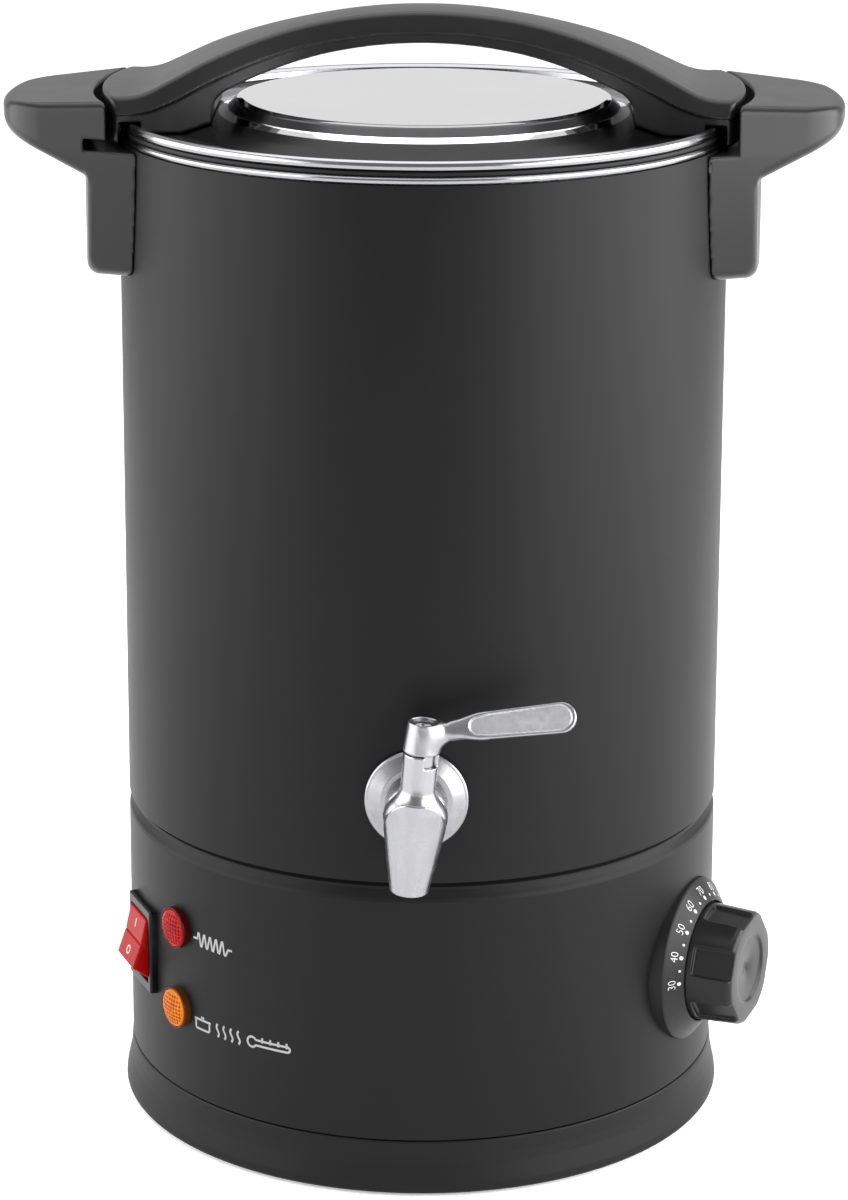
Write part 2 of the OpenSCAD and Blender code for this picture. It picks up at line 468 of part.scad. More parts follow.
module tap_body() color([0.80, 0.81, 0.82]) difference() {
  union() {
    // threaded shank through both walls, and the neck in front of the flange
    rotate([90, 0, 0]) translate([0, tap_h, 0]) {
      translate([0, 0, 86]) cylinder(r = 8.25, h = 30, $fn = 48);
      rotate_extrude($fn = 64) polygon([[0, 112.5], [10.2, 112.5], [10.4, 119], [0, 119]]);
    }
    // bulb, spout and barrel
    tap_frame() translate([0, -tap_y, 0]) {
      rotate_extrude($fn = 64) polygon([[0, tap_h - 28.2], [6.2, tap_h - 28.2], [6.8, tap_h - 27.4], [7.4, tap_h - 23], [8.5, tap_h - 17],
        [9.5, tap_h - 11], [10.5, tap_h - 5], [11, tap_h - 1], [10.9, tap_h + 2.5], [9.8, tap_h + 6], [7.9, tap_h + 8.2],
        [6.0, tap_h + 9.2], [6.06, tap_h + 21.2], [5.8, tap_h + 21.6], [0, tap_h + 21.6]]);
      // the front of the spout runs up into a shield
      difference() {
        rotate_extrude($fn = 64) polygon([[0, tap_h - 12], [9.3, tap_h - 12], [10.4, tap_h - 6], [11.2, tap_h], [11.9, tap_h + 3], [12.3, tap_h + 6], [12.45, tap_h + 8.6], [0, tap_h + 8.6]]);
        translate([-20, -11.5, tap_h + 7.7]) rotate([-49, 0, 0]) translate([0, -30, 0]) cube([40, 80, 40]);
      }
    }
  }
  // clear of the flange, round the shank
  rotate([90, 0, 0]) translate([0, tap_h, 0]) rotate_extrude($fn = 64) polygon([[8.24, 100], [24, 100], [24, 112.45], [8.24, 112.45]]);
  // waterway
  rotate([90, 0, 0]) translate([0, tap_h, 80]) cylinder(r = 4.2, h = tap_y - 80, $fn = 48);
  tap_frame() translate([0, -tap_y, 0]) {
    translate([0, 0, tap_h - 30]) cylinder(r = 5, h = 27.4, $fn = 48);
    translate([0, 0, tap_h - 3]) cylinder(r = 4.55, h = 30, $fn = 48);
    // stop notch in the barrel's top
    difference() {
      translate([0, 0, tap_h + 17.4]) cylinder(r = 8, h = 6, $fn = 32);
      translate([-9, -1, tap_h + 17]) cube([18, 12, 7]);
      translate([-9, -9, tap_h + 17]) cube([9.6, 18, 7]);
    }
  }
}

module tap_stem() color([0.70, 0.70, 0.71]) tap_frame() translate([0, -tap_y, 0]) difference() {
  translate([0, 0, tap_h - 2.4]) cylinder(r = 4.5, h = 28.2, $fn = 48);
  // waterway, turned away from the pot while the tap is shut
  translate([0, 0, tap_h - 3]) cylinder(r = 2.8, h = 3.4, $fn = 32);
  translate([0, 0, tap_h]) rotate([0, -90, 0]) cylinder(r = 2.2, h = 8, $fn = 32);
  translate([0, 0, tap_h + 20]) cylinder(r = 1.55, h = 10, $fn = 24);
}

module tap_lever() color([0.80, 0.81, 0.82]) tap_frame() translate([0, -tap_y, 0]) {
  difference() {
    rotate_extrude($fn = 48) polygon([[0, tap_h + 22], [6.0, tap_h + 22], [6.25, tap_h + 22.6], [5.4, tap_h + 32.1], [5.1, tap_h + 32.6], [0, tap_h + 32.6]]);
    translate([0, 0, tap_h + 21]) cylinder(r = 4.55, h = 4.9, $fn = 48);
    translate([0, 0, tap_h + 21]) cylinder(r = 1.65, h = 10, $fn = 24);
    translate([0, 0, tap_h + 28.6]) cylinder(r = 4.5, h = 6, $fn = 48);
  }
  // neck and paddle, rising away from the hub
  translate([0, 0, tap_h + 28.8]) rotate([0, -11.6, 0]) {
    hull() {
      translate([6.4, 0, -3.4]) sphere(r = 1.7, $fn = 16);
      translate([6.3, 0, 0.6]) sphere(r = 1.7, $fn = 16);
      translate([17.5, 0, 0]) rotate([-25, 0, 0]) cube([1, 3, 8.4], center = true);
    }
    rotate([65, 0, 0]) difference() {
      hull() {
        translate([19, 0, -1.6]) cylinder(r = 4.6, h = 3.2, $fn = 40);
        translate([lever_l - 5.3, 0, -1.6]) cylinder(r = 5.3, h = 3.2, $fn = 40);
      }
      hull() {
        translate([21, 0, 1.1]) cylinder(r = 3.2, h = 3.2, $fn = 40);
        translate([lever_l - 5.9, 0, 1.1]) cylinder(r = 4.2, h = 3.2, $fn = 40);
      }
    }
  }
}

module tap_screw() color([0.70, 0.70, 0.71]) tap_frame() translate([0, -tap_y, 0]) difference() {
  rotate_extrude($fn = 32) polygon([[0, tap_h + 20.6], [1.5, tap_h + 20.6], [1.5, tap_h + 28.6], [3.8, tap_h + 28.6], [3.8, tap_h + 30.2], [3.0, tap_h + 31.2], [0, tap_h + 31.5]]);
  for (q = [20, 110]) translate([0, 0, tap_h + 31.4]) rotate([0, 0, q]) cube([4.6, 0.9, 2.4], center = true);
}

base_ring();
base_plate();
rubber_feet();
base_screws();
lower_casing();
joint_collar();
heat_shield();
centre_stud();
stud_nut();
outer_jacket();
insulation_blanket();
inner_pot();
pot_floor();
pot_rim();
heater_plate();
heating_element();
thermal_cutout();
sensor_bulb();
capillary_tube();
thermostat_body();
thermostat_shaft();
dial_bezel();
dial_knob();
switch_housing();
switch_rocker();
rocker_pin();
heat_lamp_lens();
warm_lamp_lens();
lamp_bodies();
terminal_block();
cord_gland();
gland_nut();
side_handle_left();
side_handle_right();
handle_screws();
lid_seal();
lid_plate();
lid_collar();
lid_handle();
lid_screws();
tap_flange();
tap_gaskets();
tap_body();
tap_nut();
tap_stem();
tap_lever();
tap_screw();
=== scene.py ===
import math

import bmesh
import bpy
import numpy as np
from mathutils import Matrix, Vector


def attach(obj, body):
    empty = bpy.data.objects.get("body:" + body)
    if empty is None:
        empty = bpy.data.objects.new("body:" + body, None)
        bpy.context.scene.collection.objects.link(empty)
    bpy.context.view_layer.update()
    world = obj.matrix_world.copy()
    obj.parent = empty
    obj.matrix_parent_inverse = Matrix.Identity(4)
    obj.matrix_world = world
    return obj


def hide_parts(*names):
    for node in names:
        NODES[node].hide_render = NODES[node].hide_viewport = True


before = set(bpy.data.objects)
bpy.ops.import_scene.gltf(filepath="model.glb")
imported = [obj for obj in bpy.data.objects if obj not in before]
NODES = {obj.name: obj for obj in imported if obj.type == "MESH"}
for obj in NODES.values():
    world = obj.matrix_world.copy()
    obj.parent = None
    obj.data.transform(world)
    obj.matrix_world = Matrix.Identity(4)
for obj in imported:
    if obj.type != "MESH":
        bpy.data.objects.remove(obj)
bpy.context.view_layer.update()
scene = bpy.context.scene
MM = 0.001

# The sizes that the frame's construction uses too, in millimetres.
R = 108.0
TAP_H, TAP_Y, LEAN = 146.0, 122.0, 4.7
DIAL_AZ, DIAL_H = 65.2, 63.4
SW_AZ, SW_H, TAU = -67.2, 66.2, 16.5
LAMP_AZ, LAMP_H = -52.3, (81.8, 51.4)


def wall_matrix(az, z):
    """Local z points away from the pot's axis, local y up, local x to the right seen from outside."""
    return Matrix.Rotation(math.radians(az), 4, "Z") @ Matrix.Rotation(math.radians(90), 4, "X") @ Matrix.Translation((0, z, 0))


TAP_M = (Matrix.Translation((0, 0, TAP_H)) @ Matrix.Rotation(math.radians(LEAN), 4, "Y")
         @ Matrix.Translation((0, -TAP_Y, 0)))
DIAL_M = wall_matrix(DIAL_AZ, DIAL_H)
SW_M = wall_matrix(SW_AZ, SW_H)


# ---------------------------------------------------------------- materials

def material(name, base=(0.5, 0.5, 0.5), rough=0.5, metal=0.0, spec=0.5, coat=0.0, coat_rough=0.1,
             grain=None, grain_depth=0.0, vary=0.0, vary_scale=40.0, rough_vary=0.0, trans=0.0, ior=1.45,
             emit=None, emit_strength=0.0, aniso=0.0, brush=None, sss=0.0):
    """A principled surface with procedural colour and roughness variation and a fine bump.
    grain is the size of the bump's cells in mm, brush the direction of a brushed finish."""
    m = bpy.data.materials.new(name)
    m.use_nodes = True
    nt = m.node_tree
    p = nt.nodes["Principled BSDF"]
    p.inputs["Base Color"].default_value = (*base, 1)
    p.inputs["Roughness"].default_value = rough
    p.inputs["Metallic"].default_value = metal
    p.inputs["Specular IOR Level"].default_value = spec
    p.inputs["Coat Weight"].default_value = coat
    p.inputs["Coat Roughness"].default_value = coat_rough
    p.inputs["Transmission Weight"].default_value = trans
    p.inputs["IOR"].default_value = ior
    p.inputs["Anisotropic"].default_value = aniso
    p.inputs["Subsurface Weight"].default_value = sss
    if emit is not None:
        p.inputs["Emission Color"].default_value = (*emit, 1)
        p.inputs["Emission Strength"].default_value = emit_strength
    tc = nt.nodes.new("ShaderNodeTexCoord")
    if vary or rough_vary:
        mp = nt.nodes.new("ShaderNodeMapping")
        nt.links.new(tc.outputs["Object"], mp.inputs["Vector"])
        if brush is not None:
            mp.inputs["Scale"].default_value = brush
        no = nt.nodes.new("ShaderNodeTexNoise")
        no.inputs["Scale"].default_value = vary_scale
        no.inputs["Detail"].default_value = 5
        no.inputs["Roughness"].default_value = 0.6
        nt.links.new(mp.outputs["Vector"], no.inputs["Vector"])
        if vary:
            ra = nt.nodes.new("ShaderNodeValToRGB")
            ra.color_ramp.elements[0].position = 0.3
            ra.color_ramp.elements[1].position = 0.7
            ra.color_ramp.elements[0].color = (*[c * (1 - vary) for c in base], 1)
            ra.color_ramp.elements[1].color = (*[min(1, c * (1 + vary)) for c in base], 1)
            nt.links.new(no.outputs["Fac"], ra.inputs["Fac"])
            nt.links.new(ra.outputs["Color"], p.inputs["Base Color"])
        if rough_vary:
            mr = nt.nodes.new("ShaderNodeMapRange")
            mr.inputs["To Min"].default_value = max(0.0, rough - rough_vary)
            mr.inputs["To Max"].default_value = min(1.0, rough + rough_vary)
            nt.links.new(no.outputs["Fac"], mr.inputs["Value"])
            nt.links.new(mr.outputs["Result"], p.inputs["Roughness"])
    if grain:
        mp2 = nt.nodes.new("ShaderNodeMapping")
        nt.links.new(tc.outputs["Object"], mp2.inputs["Vector"])
        if brush is not None:
            mp2.inputs["Scale"].default_value = brush
        n2 = nt.nodes.new("ShaderNodeTexNoise")
        n2.inputs["Scale"].default_value = 1.0 / (grain * MM)
        n2.inputs["Detail"].default_value = 2
        nt.links.new(mp2.outputs["Vector"], n2.inputs["Vector"])
        bu = nt.nodes.new("ShaderNodeBump")
        bu.inputs["Strength"].default_value = 1.0
        bu.inputs["Distance"].default_value = grain_depth * MM
        nt.links.new(n2.outputs["Fac"], bu.inputs["Height"])
        nt.links.new(bu.outputs["Normal"], p.inputs["Normal"])
    return m


M_COAT = material("coated_steel", (0.0045, 0.0045, 0.0047), rough=0.46, spec=0.13, grain=0.9, grain_depth=0.006, vary=0.06, vary_scale=30, rough_vary=0.03)
M_BASE = material("base_plastic", (0.0050, 0.0050, 0.0052), rough=0.46, spec=0.14, grain=0.5, grain_depth=0.005, vary=0.06, vary_scale=30, rough_vary=0.03)
M_HANDLE = material("handle_plastic", (0.0070, 0.0070, 0.0073), rough=0.33, spec=0.28, grain=0.35, grain_depth=0.004, vary=0.06, vary_scale=60, rough_vary=0.04)
M_KNOB = material("knob_plastic", (0.0080, 0.0080, 0.0084), rough=0.30, spec=0.22, grain=0.3, grain_depth=0.004, vary=0.08, vary_scale=90, rough_vary=0.04)
M_DIAL = material("dial_plastic", (0.0085, 0.0085, 0.0090), rough=0.42, spec=0.20, grain=0.3, grain_depth=0.008, vary=0.10, vary_scale=120, rough_vary=0.04)
M_PRINT = material("printed_white", (0.50, 0.50, 0.50), rough=0.55, spec=0.4, grain=0.3, grain_depth=0.004, vary=0.05, vary_scale=300, rough_vary=0.05)
M_MARK = material("printed_grey", (0.23, 0.23, 0.23), rough=0.5, spec=0.4, grain=0.4, grain_depth=0.004, vary=0.08, vary_scale=200, rough_vary=0.05)
M_MIRROR = material("polished_lid", (0.86, 0.86, 0.87), rough=0.05, metal=1.0, grain=22, grain_depth=0.05, vary=0.02, vary_scale=20, rough_vary=0.02)
M_RIM = material("polished_rim", (0.25, 0.25, 0.26), rough=0.17, metal=1.0, grain=9, grain_depth=0.02, vary=0.03, vary_scale=60, rough_vary=0.03)
M_POT = material("drawn_steel", (0.66, 0.66, 0.67), rough=0.28, metal=1.0, grain=1.2, grain_depth=0.008, vary=0.06, vary_scale=25, rough_vary=0.06, brush=(1, 1, 0.15))
M_TAP = material("tap_steel", (0.27, 0.27, 0.28), rough=0.27, metal=1.0, grain=0.5, grain_depth=0.004, vary=0.07, vary_scale=330, rough_vary=0.05, brush=(1, 1, 0.05))
M_LEVER = material("lever_steel", (0.25, 0.25, 0.26), rough=0.33, metal=1.0, grain=0.5, grain_depth=0.004, vary=0.04, vary_scale=160, rough_vary=0.03)
M_FLANGE = material("flange_steel", (0.23, 0.23, 0.24), rough=0.28, metal=1.0, grain=0.4, grain_depth=0.004, vary=0.10, vary_scale=160, rough_vary=0.06)
M_PANEL = material("lever_panel", (0.42, 0.42, 0.43), rough=0.45, metal=1.0, grain=0.25, grain_depth=0.02, vary=0.10, vary_scale=400, rough_vary=0.08)
M_SCREW = material("screw_steel", (0.55, 0.55, 0.56), rough=0.30, metal=1.0, grain=0.3, grain_depth=0.008, vary=0.10, vary_scale=300, rough_vary=0.08)
M_SEAL = material("seal_rubber", (0.0050, 0.0050, 0.0050), rough=0.5, spec=0.2, grain=0.4, grain_depth=0.01, vary=0.1, vary_scale=80, rough_vary=0.05)
M_FOOT = material("foot_rubber", (0.014, 0.014, 0.014), rough=0.72, spec=0.4, grain=0.5, grain_depth=0.02, vary=0.12, vary_scale=120, rough_vary=0.06)
M_SWITCH = material("switch_plastic", (0.0040, 0.0040, 0.0043), rough=0.27, spec=0.14, grain=0.4, grain_depth=0.006, vary=0.08, vary_scale=120, rough_vary=0.05)
M_GLAND = material("gland_plastic", (0.014, 0.014, 0.014), rough=0.48, spec=0.45, grain=0.3, grain_depth=0.01, vary=0.1, vary_scale=120, rough_vary=0.05)
M_ZINC = material("zinc_plate", (0.50, 0.50, 0.49), rough=0.42, metal=1.0, grain=3, grain_depth=0.02, vary=0.14, vary_scale=35, rough_vary=0.10)
M_FELT = material("mineral_felt", (0.62, 0.52, 0.34), rough=0.95, spec=0.2, grain=1.5, grain_depth=0.5, vary=0.16, vary_scale=60, rough_vary=0.03)
M_CAST = material("cast_alloy", (0.48, 0.48, 0.49), rough=0.5, metal=1.0, grain=0.8, grain_depth=0.05, vary=0.1, vary_scale=60, rough_vary=0.08)
M_SHEATH = material("element_sheath", (0.20, 0.17, 0.14), rough=0.4, metal=1.0, grain=0.8, grain_depth=0.02, vary=0.25, vary_scale=60, rough_vary=0.1)
M_CERAMIC = material("heatproof_moulding", (0.62, 0.58, 0.48), rough=0.6, spec=0.4, grain=0.6, grain_depth=0.02, vary=0.06, vary_scale=90, rough_vary=0.05)
M_COPPER = material("drawn_copper", (0.65, 0.32, 0.19), rough=0.3, metal=1.0, grain=0.6, grain_depth=0.01, vary=0.12, vary_scale=90, rough_vary=0.08)
M_BRASS = material("turned_brass", (0.66, 0.48, 0.22), rough=0.26, metal=1.0, grain=0.4, grain_depth=0.01, vary=0.08, vary_scale=120, rough_vary=0.06)
M_RED = material("rocker_red", (0.20, 0.0015, 0.002), rough=0.14, spec=0.06, grain=0.6, grain_depth=0.004, vary=0.12, vary_scale=150, rough_vary=0.04, emit=(0.8, 0.004, 0.006), emit_strength=0.04)
M_LENS_R = material("lens_red", (0.26, 0.003, 0.003), rough=0.10, spec=0.07, grain=0.7, grain_depth=0.01, vary=0.25, vary_scale=300, rough_vary=0.04, emit=(0.9, 0.012, 0.01), emit_strength=0.03)
M_LENS_A = material("lens_amber", (0.42, 0.110, 0.004), rough=0.10, spec=0.07, grain=0.7, grain_depth=0.01, vary=0.25, vary_scale=300, rough_vary=0.04, emit=(0.9, 0.20, 0.004), emit_strength=0.03)
# darker copies of the lens colours: painted shade for the light and dark pattern of the lenses' prism cells
M_LENS_R_SHADE = material("lens_red_painted_shade", (0.07, 0.0008, 0.001), rough=0.12, spec=0.07, grain=0.7, grain_depth=0.01, vary=0.3, vary_scale=300, rough_vary=0.04)
M_LENS_A_SHADE = material("lens_amber_painted_shade", (0.16, 0.026, 0.001), rough=0.12, spec=0.07, grain=0.7, grain_depth=0.01, vary=0.3, vary_scale=300, rough_vary=0.04)
M_SHOULDER = material("formed_shoulder", (0.040, 0.040, 0.042), rough=0.22, metal=1.0, grain=9, grain_depth=0.03, vary=0.10, vary_scale=60, rough_vary=0.03)
M_RING = material("lid_ring", (0.022, 0.022, 0.023), rough=0.22, metal=1.0, spec=0.2, grain=9, grain_depth=0.03, vary=0.10, vary_scale=40, rough_vary=0.03)
# near-black painted shade, put where shade falls: the side handles' gap walls and the casing's seam groove
M_PAINTED_SHADE = material("painted_gap_shade", (0.0016, 0.0016, 0.0017), rough=0.7, spec=0.04, grain=0.5, grain_depth=0.004, vary=0.1, vary_scale=60, rough_vary=0.03)
M_CLEAR_R = material("lens_rim_red", (0.035, 0.0015, 0.0015), rough=0.08, spec=0.12, grain=0.7, grain_depth=0.004, vary=0.1, vary_scale=200, rough_vary=0.03)
M_CLEAR_A = material("lens_rim_amber", (0.060, 0.016, 0.0015), rough=0.08, spec=0.12, grain=0.7, grain_depth=0.004, vary=0.1, vary_scale=200, rough_vary=0.03)


# ---------------------------------------------------------------- mesh tools

def add_piece(name, verts, faces, mats, body, nodes=(), sharp=None, matrix=None, face_mats=None, recalc=True, smooth=True):
    """A mesh piece from vertices in millimetres, in its own frame matrix (mm) or the row frame."""
    me = bpy.data.meshes.new(name)
    v = np.asarray(verts, float)
    if matrix is not None:
        a = np.array(matrix, float)
        v = v @ a[:3, :3].T + a[:3, 3]
    me.from_pydata((v * MM).tolist(), [], [list(map(int, f)) for f in faces])
    for m in (mats if isinstance(mats, (list, tuple)) else [mats]):
        me.materials.append(m)
    if face_mats is not None:
        me.polygons.foreach_set("material_index", np.asarray(face_mats, np.int32))
    if recalc:
        bm = bmesh.new()
        bm.from_mesh(me)
        bmesh.ops.recalc_face_normals(bm, faces=bm.faces)
        bm.to_mesh(me)
        bm.free()
    if smooth:
        me.shade_smooth()
        if sharp:
            me.set_sharp_from_angle(angle=math.radians(sharp))
    me.update()
    ob = bpy.data.objects.new(name, me)
    scene.collection.objects.link(ob)
    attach(ob, body)
    if nodes:
        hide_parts(*nodes)
    return ob


def rounded(points, closed=True, seg=5):
    """points are (a, b) or (a, b, radius): the same outline with its corners rounded."""
    n = len(points)
    out = []
    for i in range(n):
        p = np.array(points[i][:2], float)
        r = points[i][2] if len(points[i]) > 2 else 0.0
        if r <= 0 or (not closed and i in (0, n - 1)):
            out.append(tuple(p))
            continue
        a, b = np.array(points[i - 1][:2], float), np.array(points[(i + 1) % n][:2], float)
        u, w = a - p, b - p
        lu, lw = np.linalg.norm(u), np.linalg.norm(w)
        u, w = u / lu, w / lw
        cosang = float(np.clip(u @ w, -1, 1))
        half = math.acos(cosang) / 2
        if half > math.radians(89.5):
            out.append(tuple(p))
            continue
        t = min(r / math.tan(half), 0.49 * lu, 0.49 * lw)
        r = t * math.tan(half)
        bis = (u + w) / np.linalg.norm(u + w)
        c = p + bis * (r / math.sin(half))
        s, e = p + u * t, p + w * t
        a0 = math.atan2(*(s - c)[::-1])
        a1 = math.atan2(*(e - c)[::-1])
        d = (a1 - a0 + math.pi) % (2 * math.pi) - math.pi
        for k in range(seg + 1):
            ang = a0 + d * k / seg
            out.append((c[0] + r * math.cos(ang), c[1] + r * math.sin(ang)))
    return out


def lathe_mesh(outline, n=160, span=None):
    """Vertices and faces of a closed outline of (radius, height) turned round the z axis."""
    pts = [(max(0.0, r), z) for r, z in outline]
    verts, index = [], []
    angs = [2 * math.pi * k / n for k in range(n)]
    for r, z in pts:
        if r < 1e-6:
            index.append([len(verts)] * n)
            verts.append((0, 0, z))
        else:
            index.append(list(range(len(verts), len(verts) + n)))
            verts.extend((r * math.cos(a), r * math.sin(a), z) for a in angs)
    faces = []
    m = len(pts)
    for i in range(m):
        j = (i + 1) % m
        if pts[i][0] < 1e-6 and pts[j][0] < 1e-6:
            continue
        for k in range(n):
            l = (k + 1) % n
            f = [index[i][k], index[i][l], index[j][l], index[j][k]]
            g = []
            for q in f:
                if q not in g:
                    g.append(q)
            if len(g) > 2:
                faces.append(g)
    return verts, faces


def lathe(name, outline, mats, body, nodes=(), n=160, matrix=None, sharp=28, seg=5):
    v, f = lathe_mesh(rounded(outline, seg=seg), n)
    return add_piece(name, v, f, mats, body, nodes, sharp=sharp, matrix=matrix)


def RX(a, b, r):
    """Intersection of two distance fields, its edge rounded to radius r."""
    if np.isscalar(r) and r <= 0:
        return np.maximum(a, b)
    return np.minimum(np.maximum(a, b), -r) + np.sqrt(np.maximum(a + r, 0) ** 2 + np.maximum(b + r, 0) ** 2)


def RU(a, b, r):
    """Union of two distance fields with a fillet of radius r where they meet."""
    return -RX(-a, -b, r)


def nets(f, lo, hi, h, iters=5):
    """The zero surface of the distance field f as vertices and quads, on cells of size h, pulled on to the true surface."""
    n = [int(math.ceil((b - a) / h)) + 1 for a, b in zip(lo, hi)]
    ax = [lo[i] + h * np.arange(n[i]) for i in range(3)]
    X, Y, Z = np.meshgrid(*ax, indexing="ij")
    F = f(X, Y, Z)
    F = np.where(np.abs(F) < 1e-9, 1e-9, F)
    cells = tuple(k - 1 for k in n)
    acc = np.zeros(cells + (3,))
    cnt = np.zeros(cells)
    for d in range(3):
        u, v = (d + 1) % 3, (d + 2) % 3
        G = np.moveaxis(F, (d, u, v), (0, 1, 2))
        A, B = G[:-1], G[1:]
        cross = (A < 0) != (B < 0)
        t = np.where(cross, A / np.where(cross, A - B, 1.0), 0.0)
        accm = np.moveaxis(acc, (d, u, v), (0, 1, 2))
        cntm = np.moveaxis(cnt, (d, u, v), (0, 1, 2))
        pd = ax[d][:-1][:, None, None] + t * h
        for du in (0, 1):
            for dv in (0, 1):
                c = cross[:, du:du + n[u] - 1, dv:dv + n[v] - 1]
                accm[..., d] += np.where(c, pd[:, du:du + n[u] - 1, dv:dv + n[v] - 1], 0)
                accm[..., u] += np.where(c, (ax[u][du:du + n[u] - 1])[None, :, None], 0)
                accm[..., v] += np.where(c, (ax[v][dv:dv + n[v] - 1])[None, None, :], 0)
                cntm += c
    active = cnt > 0
    idx = np.full(cells, -1, int)
    idx[active] = np.arange(int(active.sum()))
    P = acc[active] / cnt[active][:, None]
    quads = []
    for d in range(3):
        u, v = (d + 1) % 3, (d + 2) % 3
        G = np.moveaxis(F, (d, u, v), (0, 1, 2))
        A, B = G[:-1, 1:-1, 1:-1], G[1:, 1:-1, 1:-1]
        I = np.moveaxis(idx, (d, u, v), (0, 1, 2))
        q = np.stack([I[:, :-1, :-1], I[:, 1:, :-1], I[:, 1:, 1:], I[:, :-1, 1:]], -1)
        up = (A < 0) & (B >= 0)
        dn = (A >= 0) & (B < 0)
        quads.append(q[up])
        quads.append(q[dn][:, ::-1])
    Q = np.concatenate(quads)
    Q = Q[(Q >= 0).all(1)]
    e = 0.02
    for _ in range(iters):
        x, y, z = P[:, 0], P[:, 1], P[:, 2]
        val = f(x, y, z)
        g = np.stack([f(x + e, y, z) - f(x - e, y, z), f(x, y + e, z) - f(x, y - e, z), f(x, y, z + e) - f(x, y, z - e)], -1) / (2 * e)
        g2 = np.maximum((g ** 2).sum(1), 0.05)
        step = -(val / g2)[:, None] * g
        ln = np.linalg.norm(step, axis=1)
        step *= np.minimum(1.0, 0.4 * h / np.maximum(ln, 1e-9))[:, None]
        P = P + step
    return P, Q


def smooth01(t):
    t = np.clip(t, 0, 1)
    return t * t * (3 - 2 * t)


def tube_mesh(path, radius, k=12, closed=False, flat=None):
    """A round tube along a path in mm. flat is not used."""
    path = [Vector(p) for p in path]
    n = len(path)
    verts, faces = [], []
    prev = None
    for i, p in enumerate(path):
        a = path[(i - 1) % n] if (closed or i > 0) else path[0]
        b = path[(i + 1) % n] if (closed or i < n - 1) else path[-1]
        t = (b - a).normalized()
        if prev is None:
            ref = Vector((0, 0, 1)) if abs(t.z) < 0.9 else Vector((1, 0, 0))
            u = t.cross(ref).normalized()
        else:
            u = (prev - t * prev.dot(t)).normalized()
        prev = u
        w = t.cross(u)
        for j in range(k):
            ang = 2 * math.pi * j / k
            verts.append(tuple(p + radius * (math.cos(ang) * u + math.sin(ang) * w)))
    rings = n if closed else n - 1
    for i in range(rings):
        for j in range(k):
            a, b = i * k + j, i * k + (j + 1) % k
            c, d = ((i + 1) % n) * k + (j + 1) % k, ((i + 1) % n) * k + j
            faces.append([a, b, c, d])
    if not closed:
        faces.append(list(range(k))[::-1])
        faces.append([(n - 1) * k + j for j in range(k)])
    return verts, faces


# ---------------------------------------------------------------- casing, jacket, pot and lid

lathe("Base_ring", [(110.0, 1.0, 0.5), (110.6, 1.8, 0.5), (110.35, 4.3, 1.5), (109.65, 7.5, 3), (108.95, 10.8, 4), (108.45, 14.5, 5),
                    (108.15, 19.0, 0.35), (107.8, 19.52, 0.25), (106.5, 19.52), (106.5, 24, 0.3), (104.2, 24, 0.3), (104.2, 7.4), (94, 7.4, 0.3),
                    (94, 5.25, 0.3), (105.4, 5.25), (105.4, 1.0, 0.3)],
      M_BASE, "urn", ["base_ring"], n=224)
lathe("Lower_casing", [(106.8, 20.0, 0.2), (108, 20.0, 0.35), (108, 108.2, 1.2), (107.7, 109.4, 1.4), (106.95, 110.6, 1.2), (106.1, 112.2, 1.0), (105.95, 113.15), (105.8, 114.2, 1),
                       (105.8, 119), (104.8, 119), (104.8, 112.5), (105.3, 110.6), (106.8, 108.4)],
      [M_COAT, M_PAINTED_SHADE], "urn", ["lower_casing", "joint_collar"], n=224)
casing = bpy.data.objects["Lower_casing"].data
# faces of the seam groove above 113.3 mm take the painted shade that stands in for the shadow in the groove
casing.polygons.foreach_set("material_index", np.array([p.center[2] > 0.1133 for p in casing.polygons], np.int32))
lathe("Outer_jacket", [(106.9, 115.7, 0.2), (107.1, 115.3, 0.1), (107.9, 115.3, 0.5), (108, 115.8, 0.3), (108, 357.4, 0.3), (106.9, 357.4, 0.3)],
      M_COAT, "urn", ["outer_jacket"], n=224)
lathe("Inner_pot", [(0, 125), (100, 125, 0.5), (100, 358.85, 0.3), (99, 358.85, 0.3), (99, 126.2, 0.8), (0, 126.2)], M_POT, "urn", ["inner_pot", "pot_floor"], n=224)
lathe("Pot_rim", [(99, 358.9, 0.2), (106.1, 358.9, 0.3), (106.5, 358.0, 0.3), (107.4, 357.72, 0.5), (108.3, 357.9, 0.6), (108.88, 358.9, 0.8),
                  (108.7, 359.6, 0.5), (108.1, 360.1, 0.5), (99, 360.1, 0.5)], M_RIM, "urn", ["pot_rim"], n=256)
lathe("Lid_seal", [(100.5, 360.12, 0.1), (107.3, 360.12, 0.3), (107.3, 361.7, 0.3), (105.6, 361.7, 0.1), (104.9, 360.5, 0.1), (100.5, 360.5, 0.1)],
      M_SEAL, "seal_ring", ["lid_seal"], n=192)
# raised centre, shoulder, a ring that falls a little outwards, and the rolled edge
lathe("Lid_plate", [(0, 369), (64.2, 369, 2), (66.3, 367.9, 1), (69.2, 365.2, 1), (72.3, 364.1, 1), (80, 362.4, 3), (88.8, 360.15, 2), (95, 360.6, 2), (103.3, 360.7, 0.3), (104.6, 360.7, 0.3),
                    (105.4, 362, 0.3), (107.4, 362, 0.8), (108.3, 362.55, 0.7), (108.68, 363.7, 0.9), (108.2, 364.9, 0.9), (107.1, 365.4, 0.9), (105.9, 365.2, 0.7),
                    (105.0, 364.2, 0.8), (104.6, 362.2, 0.6), (104.0, 361.5, 0.4), (103.2, 361.38, 0.4), (95, 361.33, 3), (89, 360.95, 4), (80, 363.35, 4),
                    (72.6, 365.1, 2.0), (69.6, 366.3, 1.6), (66.9, 369.35, 2.2), (64.2, 369.97, 4), (0, 369.97)],
      [M_MIRROR, M_SHOULDER, M_RING, M_RIM], "lid", ["lid_plate"], n=256, seg=7)


